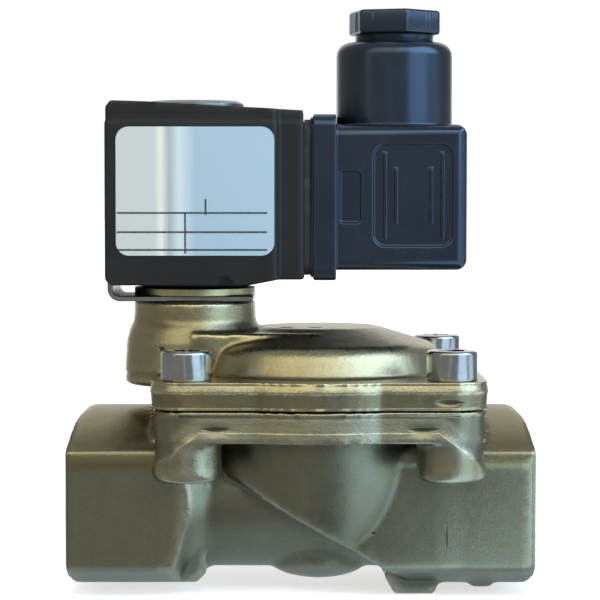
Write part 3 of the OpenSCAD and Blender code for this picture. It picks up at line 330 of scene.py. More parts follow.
@dataclass(frozen=True)
class Seam:
    """Flash line left by the dies around a flange, which falls away past the middle of the bosses; the brass
    paints a highlight along it and painted light or shade on the tier below it.
    """

    level: float
    half: float
    wobble: float
    middle: float = 3.1 * MM
    start: float = 0.0
    fall: float = 0.0

    def masks(self, s: Shader, rough: Value) -> Tuple[Value, Value]:
        """Masks of the line and of what lies below it, both within the flange's painted edge.

        Args:
            s: Shader that uses them.
            rough: Noise that makes the line ragged.

        Returns:
            Mask of the line and mask below it.
        """
        x, _, z = s.axes()
        drop = s.math("MAXIMUM", abs(x - self.middle) - self.start, 0.0) * self.fall
        away = z + drop - self.level + (rough - 0.5) * self.wobble
        zone = s.attribute("lip")
        line = zone * (1 - abs(away).rise(0.4 * self.half, self.half))
        return line, zone * (1 - away.rise(-self.half, 0.0))


@dataclass(frozen=True)
class ForgedBrass:
    """Dull forged brass with stains in its hollows, paler worn edges, a flash line and a blasted grain, and
    with painted shade and painted highlights laid on by its attributes and the flash line.
    """

    name: str
    bright: Colour
    main: Colour
    # Tone of the stains, and of the painted shade.
    stain_and_shade: Colour
    warm: Colour
    rough: float
    grain: float
    seam: Seam
    # Share of painted shade on the tier below the flash line; a negative share paints light there instead.
    below: float
    nicks: Tuple[Nick, ...] = ()
    patch_size: float = 16 * MM
    tarnish_size: float = 5 * MM
    fleck_size: float = 1.6 * MM
    grain_size: float = 0.34 * MM
    relief: float = 0.15 * MM

    def material(self) -> bpy.types.Material:
        """Make the material.

        Returns:
            The finished material.
        """
        s = Shader(self.name)
        patch = s.noise(self.patch_size, 4.0)
        tarnish = s.noise(self.tarnish_size, 5.0, 0.65)
        fleck = s.noise(self.fleck_size, 4.0, 0.62)
        grain = s.noise(self.grain_size, 3.0, 0.6)
        edge, hollow = s.attribute("edge"), s.attribute("hollow")
        line, under = self.seam.masks(s, fleck)
        # Dull holds real stains from the patches and hollows, and painted shade from the shade attribute.
        dull = patch.rise(0.42, 0.68) * 0.3 + hollow * 0.7 + s.attribute("shade") * 0.9
        # A positive below share adds painted shade on the tier under the flash line.
        dull = (dull + under * max(self.below, 0.0) + (grain.rise(0.48, 0.66) - 0.3) * 0.5).clip()
        colour = s.mix(self.main, self.stain_and_shade, dull)
        tint = s.attribute("warm") * (0.45 + fleck) + tarnish.rise(0.5, 0.68) * 0.45
        colour = s.mix(colour, self.warm, tint.clip())
        # The flash line's paleness is a painted highlight along its ledge; a negative below share adds
        # painted light on the tier under it.
        pale = edge * (0.2 + fleck * 1.2) * 0.9 + line * fleck.rise(0.42, 0.62) * 0.6
        pale = pale + under * max(-self.below, 0.0) + grain.rise(0.56, 0.70) * 0.3
        colour = s.mix(colour, self.bright, pale.clip())
        # Painted shade darkens the nicks' small recesses.
        marks: Number = 0.0
        for nick in self.nicks:
            marks = marks + nick.mask(s)
        colour = s.mix(colour, tuple(0.25 * c for c in self.stain_and_shade), marks.clip())
        rough = self.rough + (fleck - 0.5) * 0.2 + dull * 0.06 - edge * 0.1
        height = grain * 0.5 + fleck * 0.5 - marks * 1.6 + under * 0.5
        return s.surface(colour, rough, 1.0, s.bump(height, self.relief * self.grain, 0.9))


@dataclass(frozen=True)
class TurnedMetal:
    """Bare turned or drawn metal with fine rings around a Z axis."""

    name: str
    main: Colour
    dark: Colour
    centre: Point = (0.0, 0.0, 0.0)
    roughness: float = 0.28
    ring_size: float = 0.25 * MM
    stretch: Point = (12.0, 12.0, 1.0)

    def material(self) -> bpy.types.Material:
        """Make the material.

        Returns:
            The finished material.
        """
        s = Shader(self.name)
        rings = s.noise(self.ring_size, 2.0, 0.6, s.moved(self.centre, self.stretch))
        cloud = s.noise(4 * MM, 3.0)
        dull = cloud.rise(0.4, 0.75) * 0.6 + rings.rise(0.55, 0.8) * 0.3
        colour = s.mix(self.main, self.dark, dull.clip())
        rough = self.roughness + (rings - 0.5) * 0.2 + (cloud - 0.5) * 0.15
        return s.surface(colour, rough, 1.0, s.bump(rings, 0.01 * MM))


@dataclass(frozen=True)
class PlatedSteel:
    """Zinc plated steel: bright, slightly cloudy, with a tinted passivation and small scuffs."""

    name: str
    main: Colour
    tint: Colour
    roughness: float = 0.22
    scuff: float = 0.5

    def material(self) -> bpy.types.Material:
        """Make the material.

        Returns:
            The finished material.
        """
        s = Shader(self.name)
        cloud = s.noise(3.5 * MM, 3.0)
        fine = s.noise(0.5 * MM, 3.0)
        scuff = s.noise(1.2 * MM, 4.0, 0.7).rise(0.58, 0.72) * self.scuff
        edge = s.attribute("edge")
        colour = s.mix(self.main, self.tint, (cloud.rise(0.35, 0.7) * 0.8).clip())
        colour = s.mix(colour, tuple(0.55 * c for c in self.main), (scuff * 0.6).clip())
        rough = self.roughness + scuff * 0.25 + (fine - 0.5) * 0.12 - edge * 0.05
        return s.surface(colour, rough, 1.0, s.bump(fine * 0.6 + cloud * 0.4, 0.012 * MM))


@dataclass(frozen=True)
class MouldedPlastic:
    """Moulded plastic with a fine spark-eroded grain, flow clouds and polished edges."""

    name: str
    main: Colour
    cloud: Colour
    worn: Colour
    roughness: float = 0.45
    grain_size: float = 0.22 * MM
    grain_depth: float = 0.012 * MM
    gloss: float = 0.3
    gloss_tint: Colour = (1.0, 1.0, 1.0)
    index: float = 1.5

    def material(self) -> bpy.types.Material:
        """Make the material.

        Returns:
            The finished material.
        """
        s = Shader(self.name)
        flow = s.noise(11 * MM, 3.0)
        grain = s.noise(self.grain_size, 2.0)
        dust = s.noise(0.9 * MM, 4.0, 0.7).rise(0.6, 0.8)
        edge = s.attribute("edge")
        colour = s.mix(self.main, self.cloud, flow.rise(0.35, 0.7))
        colour = s.mix(colour, self.worn, (edge * 0.45 + dust * 0.12).clip())
        rough = self.roughness + (flow - 0.5) * 0.12 + (grain - 0.5) * 0.1 - edge * 0.1
        fixed = {"IOR": self.index, "Specular IOR Level": self.gloss, "Specular Tint": self.gloss_tint}
        return s.surface(colour, rough, 0.0, s.bump(grain, self.grain_depth), fixed)


@dataclass(frozen=True)
class SoftRubber:
    """Matte black rubber with a faint bloom."""

    name: str
    main: Colour = (0.018, 0.018, 0.019)
    bloom: Colour = (0.05, 0.05, 0.052)

    def material(self) -> bpy.types.Material:
        """Make the material.

        Returns:
            The finished material.
        """
        s = Shader(self.name)
        bloom = s.noise(3 * MM, 4.0).rise(0.45, 0.8)
        grain = s.noise(0.3 * MM, 2.0)
        colour = s.mix(self.main, self.bloom, bloom)
        return s.surface(colour, 0.7 + (grain - 0.5) * 0.2, 0.0, s.bump(grain, 0.01 * MM))


@dataclass(frozen=True)
class WoundCopper:
    """Enamelled copper wire laid in level turns around a Z axis."""

    name: str
    main: Colour = (0.56, 0.22, 0.09)
    gap: Colour = (0.16, 0.05, 0.02)
    pitch: float = 0.45 * MM

    def material(self) -> bpy.types.Material:
        """Make the material.

        Returns:
            The finished material.
        """
        s = Shader(self.name)
        turn = s.axes()[2].wave(self.pitch)
        colour = s.mix(self.gap, self.main, turn.rise(0.05, 0.6))
        return s.surface(colour, 0.3 + s.noise(2 * MM) * 0.15, 1.0, s.bump(turn, 0.12 * MM))


@dataclass(frozen=True)
class PrintedFoil:
    """Satin foil label with ruled fields, all of them bare, and a painted reflection across it."""

    name: str
    low: Point
    high: Point
    silver: Colour = (0.56, 0.60, 0.57)
    streak: Colour = (0.74, 0.78, 0.70)
    mauve: Colour = (0.40, 0.43, 0.46)
    white: Colour = (0.60, 0.70, 0.74)
    sky: Colour = (0.37, 0.505, 0.61)
    ink: Colour = (0.030, 0.042, 0.062)
    line: float = 0.165 * MM
    rows: Tuple[float, ...] = (0.669, 0.818, 0.956)
    span: Pair = (0.006, 0.955)
    posts: Tuple[Tuple[float, float, float], ...] = ((0.437, 0.669, 0.985), (0.566, 0.56, 0.685))
    soft: float = 0.002
    brush: Point = (1.0, 1.0, 30.0)

    def material(self) -> bpy.types.Material:
        """Make the material.

        Returns:
            The finished material.
        """
        s = Shader(self.name)
        x, _, z = s.axes()
        width, height = self.high[0] - self.low[0], self.high[2] - self.low[2]
        across = (x - self.low[0]) / width
        down = (self.high[2] - z) / height
        ink: Number = 0.0
        for level in self.rows:
            ink = ink + self.rule(down, level, height) * across.between(*self.span, self.soft)
        for level, top, end in self.posts:
            ink = ink + self.rule(across, level, width) * down.between(top, end, self.soft)
        wear = s.noise(0.7 * MM, 3.0)
        brush = s.noise(0.35 * MM, 2.0, 0.5, s.moved((0.0, 0.0, 0.0), self.brush))
        # Painted reflection across the foil: silver on the left, a bright streak, a greyer band, then whiter
        # and pale blue to the right.
        stops = ((0.0, self.silver), (0.24, self.silver), (0.287, self.streak), (0.335, self.mauve),
                 (0.40, self.white), (0.50, self.sky), (1.0, tuple(1.04 * c for c in self.sky)))
        painted_reflection = s.node("ShaderNodeValToRGB", {"stops": stops}, {0: across + (brush - 0.5) * 0.03})
        colour = s.mix(painted_reflection.outputs[0], self.ink, (ink * (0.75 + wear * 0.4)).clip())
        rough = 0.38 + (brush - 0.5) * 0.15 + (wear - 0.5) * 0.1
        return s.surface(colour, rough, 0.2, s.bump(brush, 0.004 * MM))

    def rule(self, place: Value, level: float, length: float) -> Value:
        """Mask of one ruled line, at a level given as a share of the label's length."""
        half = self.line / length
        return 1 - abs(place - level).rise(0.7 * half, 1.3 * half)


class Finishes:
    """All finishes of the valve, made once and shared."""

    def __init__(self) -> None:
        """Make every material."""
        low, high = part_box("rating_label")
        tower = tuple(0.5 * (a + b) for a, b in zip(*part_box("guide_tube")))
        body_nicks = (Nick(*mm(5.0, 16.3, 0.22, 0.22), 0.4), Nick(*mm(12.4, 11.4, 0.42, 0.36)),
                      Nick(*mm(14.6, 14.6, 0.35, 0.35), 0.25), Nick(*mm(24.8, 10.8, 0.2, 2.3), 0.6),
                      Nick(*mm(-13.9, 30.3, 2.4, 0.36)), Nick(*mm(20.1, 30.3, 2.6, 0.4)))
        cover_nicks = (Nick(*mm(-23.8, 42.5, 0.6, 0.4), 0.8), Nick(*mm(24.5, 34.8, 2.6, 0.42)))
        body_seam = Seam(*mm(29.8, 0.24, 0.25), start=19.8 * MM, fall=0.75)
        cover_seam = Seam(*mm(36.3, 0.26, 0.9))
        makers = {
            Slot.BODY_BRASS: ForgedBrass("forged_body_brass", (0.50, 0.49, 0.38), (0.250, 0.250, 0.195),
                                         (0.150, 0.146, 0.110), (0.27, 0.235, 0.125), 0.33, 0.5,
                                         body_seam, -0.16, body_nicks),
            Slot.COVER_BRASS: ForgedBrass("forged_cover_brass", (0.68, 0.64, 0.48), (0.41, 0.38, 0.25),
                                          (0.225, 0.200, 0.130), (0.47, 0.40, 0.20), 0.30, 0.6,
                                          cover_seam, 0.75, cover_nicks),
            Slot.TURNED_BRASS: TurnedMetal("turned_brass", (0.66, 0.50, 0.22), (0.45, 0.33, 0.14)),
            Slot.ZINC: PlatedSteel("bright_zinc_steel", (0.49, 0.51, 0.55), (0.38, 0.41, 0.46), 0.17, 0.4),
            Slot.STAINLESS: TurnedMetal("turned_stainless", (0.60, 0.59, 0.57), (0.42, 0.41, 0.40), tower),
            Slot.YOKE: PlatedSteel("yoke_strip_steel", (0.36, 0.38, 0.39), (0.25, 0.265, 0.28), 0.34, 0.6),
            Slot.YELLOW: PlatedSteel("yellow_passivated_steel", (0.60, 0.56, 0.35), (0.44, 0.40, 0.24), 0.34),
            Slot.NUT: PlatedSteel("grey_plated_steel", (0.30, 0.33, 0.325), (0.21, 0.235, 0.235), 0.40, 0.6),
            Slot.COPPER: WoundCopper("wound_copper"),
            Slot.RUBBER: SoftRubber("matte_rubber"),
            Slot.BOBBIN: MouldedPlastic("bobbin_plastic", (0.62, 0.60, 0.50), (0.55, 0.52, 0.42),
                                        (0.7, 0.68, 0.6)),
            Slot.COIL: MouldedPlastic("coil_plastic", (0.0086, 0.0095, 0.0113), (0.0125, 0.0132, 0.0150),
                                      (0.026, 0.028, 0.032), 0.50, 0.30 * MM, 0.016 * MM),
            # The plug's blue specular tint paints the blue of the window light into its highlights.
            Slot.PLUG: MouldedPlastic("plug_plastic", (0.0066, 0.0060, 0.0078), (0.0086, 0.0080, 0.0104),
                                      (0.028, 0.033, 0.044), 0.25, 0.20 * MM, 0.008 * MM, 1.0,
                                      (0.41, 0.62, 0.95), 1.6),
            Slot.LABEL: PrintedFoil("printed_foil", tuple(low), tuple(high)),
        }
        self.made = {slot: maker.material() for slot, maker in makers.items()}

    def dress(self, piece: bpy.types.Object, slot: Slot) -> None:
        """Give a piece one finish.

        Args:
            piece: Object to dress.
            slot: Slot of the finish.
        """
        piece.data.materials.clear()
        piece.data.materials.append(self.made[slot])


def grid_quads(rows: int, cols: int, wrap_rows: bool, wrap_cols: bool) -> np.ndarray:
    """Quads of a grid of points that is stored row by row.

    Args:
        rows: Number of rows.
        cols: Number of points in a row.
        wrap_rows: Whether the last row joins the first.
        wrap_cols: Whether a row's last point joins its first.

    Returns:
        Array of point numbers, four to a quad.
    """
    r = np.arange(rows if wrap_rows else rows - 1)
    c = np.arange(cols if wrap_cols else cols - 1)
    i, j = np.meshgrid(r, c, indexing="ij")
    i2, j2 = (i + 1) % rows, (j + 1) % cols
    return np.stack([i * cols + j, i * cols + j2, i2 * cols + j2, i2 * cols + j], -1).reshape(-1, 4)


def add_piece(name: str, points: np.ndarray, quads: np.ndarray, sharp: float = 40.0) -> bpy.types.Object:
    """Put one surface into a new object, with its poles merged and its faces turned outwards.

    Args:
        name: Name of the piece.
        points: Points in metres, three numbers each.
        quads: Point numbers, four to a face.
        sharp: Angle in degrees above which an edge stays sharp.

    Returns:
        The new object.
    """
    mesh = bpy.data.meshes.new(name)
    mesh.vertices.add(len(points))
    mesh.vertices.foreach_set("co", np.asarray(points, np.float32).ravel())
    mesh.loops.add(quads.size)
    mesh.loops.foreach_set("vertex_index", np.asarray(quads, np.int32).ravel())
    mesh.polygons.add(len(quads))
    mesh.polygons.foreach_set("loop_start", np.arange(0, quads.size, 4, dtype=np.int32))
    mesh.update(calc_edges=True)
    clean_mesh(mesh, 1e-7, True)
    return link_piece(name, mesh, sharp)


def clean_mesh(mesh: bpy.types.Mesh, near: float, outward: bool) -> None:
    """Merge points that coincide, and turn the faces outwards if asked.

    Args:
        mesh: Mesh to clean.
        near: Distance in metres within which points are merged.
        outward: Whether the normals are worked out anew.
    """
    work = bmesh.new()
    work.from_mesh(mesh)
    bmesh.ops.remove_doubles(work, verts=work.verts[:], dist=near)
    bmesh.ops.dissolve_degenerate(work, edges=work.edges[:], dist=near)
    if outward:
        bmesh.ops.recalc_face_normals(work, faces=work.faces[:])
    work.to_mesh(mesh)
    work.free()


def link_piece(name: str, mesh: bpy.types.Mesh, sharp: float) -> bpy.types.Object:
    """Make an object of a mesh, smooth but for its sharp edges, and put it in the scene."""
    mesh.polygons.foreach_set("use_smooth", np.ones(len(mesh.polygons), bool))
    mesh.set_sharp_from_angle(angle=math.radians(sharp))
    piece = bpy.data.objects.new(name, mesh)
    bpy.context.scene.collection.objects.link(piece)
    return piece


def lathe(profile: np.ndarray, steps: int, centre: Point) -> Tuple[np.ndarray, np.ndarray]:
    """Closed profile turned about a Z axis: point (u, v) = centre + (r(v) cos u, r(v) sin u, z(v)).

    Args:
        profile: Pairs of radius and height.
        steps: Points around the axis.
        centre: Point on the axis.

    Returns:
        Points and quads.
    """
    turn = np.linspace(0, 2 * np.pi, steps, endpoint=False)
    radius, height = profile[:, :1], profile[:, 1:]
    points = np.stack([radius * np.cos(turn), radius * np.sin(turn), height + 0 * turn], -1)
    return (points + np.array(centre)).reshape(-1, 3), grid_quads(len(profile), steps, True, True)


def carry(path: np.ndarray, axis: Point, profile: np.ndarray) -> Tuple[np.ndarray, np.ndarray]:
    """Closed profile carried along an open path, with each end drawn together in one point.

    A point is path(u) + a(v) side(u) + b(v) top(u), with side square to the path and the axis.

    Args:
        path: Points of the path.
        axis: Direction that the path never follows.
        profile: Pairs (a, b) of the profile.

    Returns:
        Points and quads.
    """
    along = np.gradient(path, axis=0)
    along /= np.linalg.norm(along, axis=1, keepdims=True)
    side = np.cross(np.array(axis), along)
    side /= np.linalg.norm(side, axis=1, keepdims=True)
    top = np.cross(along, side)
    rings = (path[:, None] + profile[None, :, :1] * side[:, None] + profile[None, :, 1:] * top[:, None])
    ends = np.repeat(path[[0, -1]][:, None], len(profile), axis=1)
    rings = np.concatenate([ends[:1], rings, ends[1:]])
    return rings.reshape(-1, 3), grid_quads(len(rings), len(profile), False, True)


def arc(centre: Pair, radius: float, start: float, end: float, count: int) -> np.ndarray:
    """Points of a circular arc between two angles in degrees."""
    turn = np.radians(np.linspace(start, end, count))
    return np.stack([centre[0] + radius * np.cos(turn), centre[1] + radius * np.sin(turn)], -1)


def hexagon(turn: np.ndarray, apothem: float, sharpness: float) -> np.ndarray:
    """Radius of a hexagon with a side at angle 0; a power mean of its sides' distances rounds the corners."""
    sides = np.cos(turn[..., None] - np.arange(6) * np.pi / 3)
    return apothem / np.sum(np.maximum(sides, 0) ** sharpness, -1) ** (1 / sharpness)


def cloud(points: np.ndarray, size: float, seed: int) -> np.ndarray:
    """Smooth random relief: random numbers on a cubic lattice, blended by smooth steps between them.

    Args:
        points: Points, three numbers each.
        size: Width of one lattice cell.
        seed: Seed of the random numbers.

    Returns:
        One number from -1 to 1 for each point.
    """
    cells = 32
    lattice = np.random.default_rng(seed).uniform(-1, 1, (cells, cells, cells))
    place = points / size
    base = np.floor(place).astype(int)
    part = place - base
    part = part * part * (3 - 2 * part)
    total = np.zeros(len(points))
    for corner in np.ndindex(2, 2, 2):
        pick = (base + np.array(corner)) % cells
        share = np.prod(np.where(np.array(corner) == 1, part, 1 - part), axis=1)
        total += share * lattice[pick[:, 0], pick[:, 1], pick[:, 2]]
    return total


def ripples(points: np.ndarray, layers: Sequence[Tuple[float, int, float]]) -> np.ndarray:
    """Sum of several smooth reliefs, each by its cell's width, its seed and its share."""
    return sum(share * cloud(points, size, seed) for size, seed, share in layers)


def step(value: np.ndarray, low: float, high: float) -> np.ndarray:
    """Smooth step from 0 at low to 1 at high."""
    t = np.clip((value - low) / (high - low), 0, 1)
    return t * t * (3 - 2 * t)


def window(value: np.ndarray, levels: Levels) -> np.ndarray:
    """Mask that rises from 0 to 1 between the first two levels and falls again between the last two."""
    return step(value, *levels[:2]) * (1 - step(value, *levels[2:]))


def corners(node: str) -> Tuple[np.ndarray, np.ndarray]:
    """Low and high corner of a CAD node's box."""
    low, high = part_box(node)
    return np.array(low), np.array(high)


class CadCopy:
    """A copy of a CAD node's mesh, reworked into a piece with natural edges."""

    def __init__(self, node: str, name: str) -> None:
        """Copy the node's mesh and merge its loose triangles.

        Args:
            node: Name of the CAD node.
            name: Name of the new piece.
        """
        self.node = node
        self.name = name
        mesh = frame["nodes"][node].data.copy()
        mesh.name = name
        if "custom_normal" in mesh.attributes:
            mesh.attributes.remove(mesh.attributes["custom_normal"])
        clean_mesh(mesh, 1e-6, False)
        self.piece = bpy.data.objects.new(name, mesh)
        bpy.context.scene.collection.objects.link(self.piece)

    def apply(self) -> None:
        """Replace the mesh by what its modifiers make of it."""
        graph = bpy.context.evaluated_depsgraph_get()
        made = bpy.data.meshes.new_from_object(self.piece.evaluated_get(graph))
        made.name = self.name
        self.piece.modifiers.clear()
        old, self.piece.data = self.piece.data, made
        bpy.data.meshes.remove(old)

    def modify(self, kind: str, **settings: Any) -> None:
        """Add one modifier.

        Args:
            kind: Blender's type name of the modifier.
            settings: Properties of the modifier.
        """
        modifier = self.piece.modifiers.new(kind, kind)
        for key, value in settings.items():
            setattr(modifier, key, value)

    def soften(self, voxel: float, passes: int) -> "CadCopy":
        """Round every edge: rebuild the surface on a fine lattice and relax it.

        Args:
            voxel: Width of a lattice cell, in metres.
            passes: Number of relaxing passes.

        Returns:
            This copy.
        """
        self.modify("REMESH", mode="VOXEL", voxel_size=voxel)
        self.modify("SMOOTH", factor=0.5, iterations=passes)
        self.apply()
        return self

    def chamfer(self, width: float) -> "CadCopy":
        """Round the sharp edges with a narrow bevel, mark the bevel as an edge and keep the flats flat.

        Args:
            width: Width of the bevel, in metres.

        Returns:
            This copy.
        """
        self.piece.data.materials.clear()
        for _ in range(2):
            self.piece.data.materials.append(None)
        self.modify("BEVEL", width=width, segments=3, limit_method="ANGLE", angle_limit=math.radians(35),
                    use_clamp_overlap=False, loop_slide=False, material=1)
        self.apply()
        mesh = self.piece.data
        mark = self.read(mesh.polygons, "material_index", 1, np.int32)[:, 0]
        layer = mesh.attributes.new("edge", "FLOAT", "FACE")
        layer.data.foreach_set("value", mark.astype(np.float32))
        mesh.polygons.foreach_set("material_index", np.zeros(len(mark), np.int32))
        mesh.polygons.foreach_set("use_smooth", np.ones(len(mark), bool))
        self.flatten_normals()
        return self

    def flatten_normals(self) -> None:
        """Give each point the mean of its faces' normals, each weighed by its whole plane's area squared."""
        fine, near = 300, 0.02 * MM
        mesh = self.piece.data
        normal = self.read(mesh.polygons, "normal", 3)
        centre = self.read(mesh.polygons, "center", 3)
        area = self.read(mesh.polygons, "area", 1)[:, 0]
        offset = np.sum(normal * centre, axis=1, keepdims=True)
        plane = np.round(np.concatenate([normal * fine, offset / near], axis=1)).astype(np.int64)
        _, group = np.unique(plane, axis=0, return_inverse=True)
        whole = np.bincount(group.ravel(), area)[group.ravel()] / MM ** 2
        corner = self.read(mesh.loops, "vertex_index", 1, np.int32)[:, 0]
        face = np.repeat(np.arange(len(area)), self.read(mesh.polygons, "loop_total", 1, np.int32)[:, 0])
        total = np.zeros((len(mesh.vertices), 3))
        np.add.at(total, corner, normal[face] * (whole[face] ** 2)[:, None])
        total /= np.maximum(np.linalg.norm(total, axis=1, keepdims=True), 1e-12)
        mesh.normals_split_custom_set_from_vertices(total.tolist())

    @staticmethod
    def read(items: Any, name: str, width: int, kind: type = np.float32) -> np.ndarray:
        """All values of one property of a mesh's points, faces or corners, one row each."""
        flat = np.empty(width * len(items), kind)
        items.foreach_get(name, flat)
        return flat.reshape(-1, width)

    def points(self) -> np.ndarray:
        """All points of the mesh."""
        return self.read(self.piece.data.vertices, "co", 3).astype(float)

    def normals(self) -> np.ndarray:
        """Normals at all points of the mesh."""
        return self.read(self.piece.data.vertex_normals, "vector", 3).astype(float)

    def paint(self, name: str, values: np.ndarray) -> "CadCopy":
        """Store one number for each point, held between 0 and 1."""
        layer = self.piece.data.attributes.new(name, "FLOAT", "POINT")
        layer.data.foreach_set("value", np.clip(values, 0, 1).astype(np.float32))
        return self

    def move_to(self, points: np.ndarray) -> None:
        """Set the points, held inside the CAD node's own box."""
        held = np.clip(points, *corners(self.node))
        self.piece.data.vertices.foreach_set("co", held.astype(np.float32).ravel())
        self.piece.data.update()

    def mark_edges(self, reach: float, gain: Union[float, np.ndarray] = 1.0,
                   worn: Union[float, np.ndarray] = 0.0) -> "CadCopy":
        """Store how far each point stands out of, or lies below, the mean of its neighbours.

        Args:
            reach: Distance in metres that counts as a full edge.
            gain: Share of each point's edge that is drawn pale, as wear or as a painted highlight.
            worn: Paleness of each point apart from the edges; the body passes painted highlights here.

        Returns:
            This copy.
        """
        points = self.points()
        bend = np.sum((points - self.mean(points)) * self.normals(), axis=1)
        for _ in range(3):
            bend = self.mean(bend[:, None])[:, 0]
        return self.paint("edge", worn + gain * bend / reach).paint("hollow", -bend / reach)

    def mean(self, values: np.ndarray) -> np.ndarray:
        """Mean of each point's neighbours, for values with one row for each point."""
        first, second = self.read(self.piece.data.edges, "vertices", 2, np.int32).T
        total, count = np.zeros_like(values), np.zeros(len(values))
        for here, there in ((first, second), (second, first)):
            np.add.at(total, here, values[there])
            np.add.at(count, here, 1)
        return total / np.maximum(count, 1)[:, None]

    def close(self) -> bpy.types.Object:
        """Hand the piece over in the place of its node.

        Returns:
            The finished object.
        """
        mesh = self.piece.data
        mesh.polygons.foreach_set("use_smooth", np.ones(len(mesh.polygons), bool))
        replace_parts(self.piece, self.node)
        return self.piece


def mount(name: str) -> Tuple[np.ndarray, float]:
    """Place of a mount and its radius, in metres."""
    found = next(row for row in frame["record"]["mounts"] if row["name"] == name)
    return np.array(found["pos_m"], float), found["dims"].get("r_mm", 0.0) * MM


@dataclass
class SubAssembly:
    """Base of the sub-assemblies: the finishes and the body that carries the pieces."""

    finishes: Finishes
    body: Body = Body.VALVE

    def show(self, piece: bpy.types.Object, slot: Slot) -> None:
        """Dress a new piece and report it."""
        self.finishes.dress(piece, slot)
        LOG.info("piece %s, %d faces", piece.name, len(piece.data.polygons))

    def take(self, piece: bpy.types.Object, slot: Slot, body: Optional[Body] = None) -> None:
        """Dress a new piece and let it ride on a body, the sub-assembly's own if none is named."""
        self.show(piece, slot)
        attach(piece, (body or self.body).value)

    def dress_nodes(self, *nodes: str) -> None:
        """Give CAD nodes that stay the finish of their slot in the record.

        Args:
            nodes: Names of the nodes.
        """
        slots = {row["node"]: Slot(row["material_slot"]) for row in frame["record"]["subparts"]}
        for node in nodes:
            self.finishes.dress(frame["nodes"][node], slots[node])
            LOG.info("node %s, %s", node, slots[node].value)


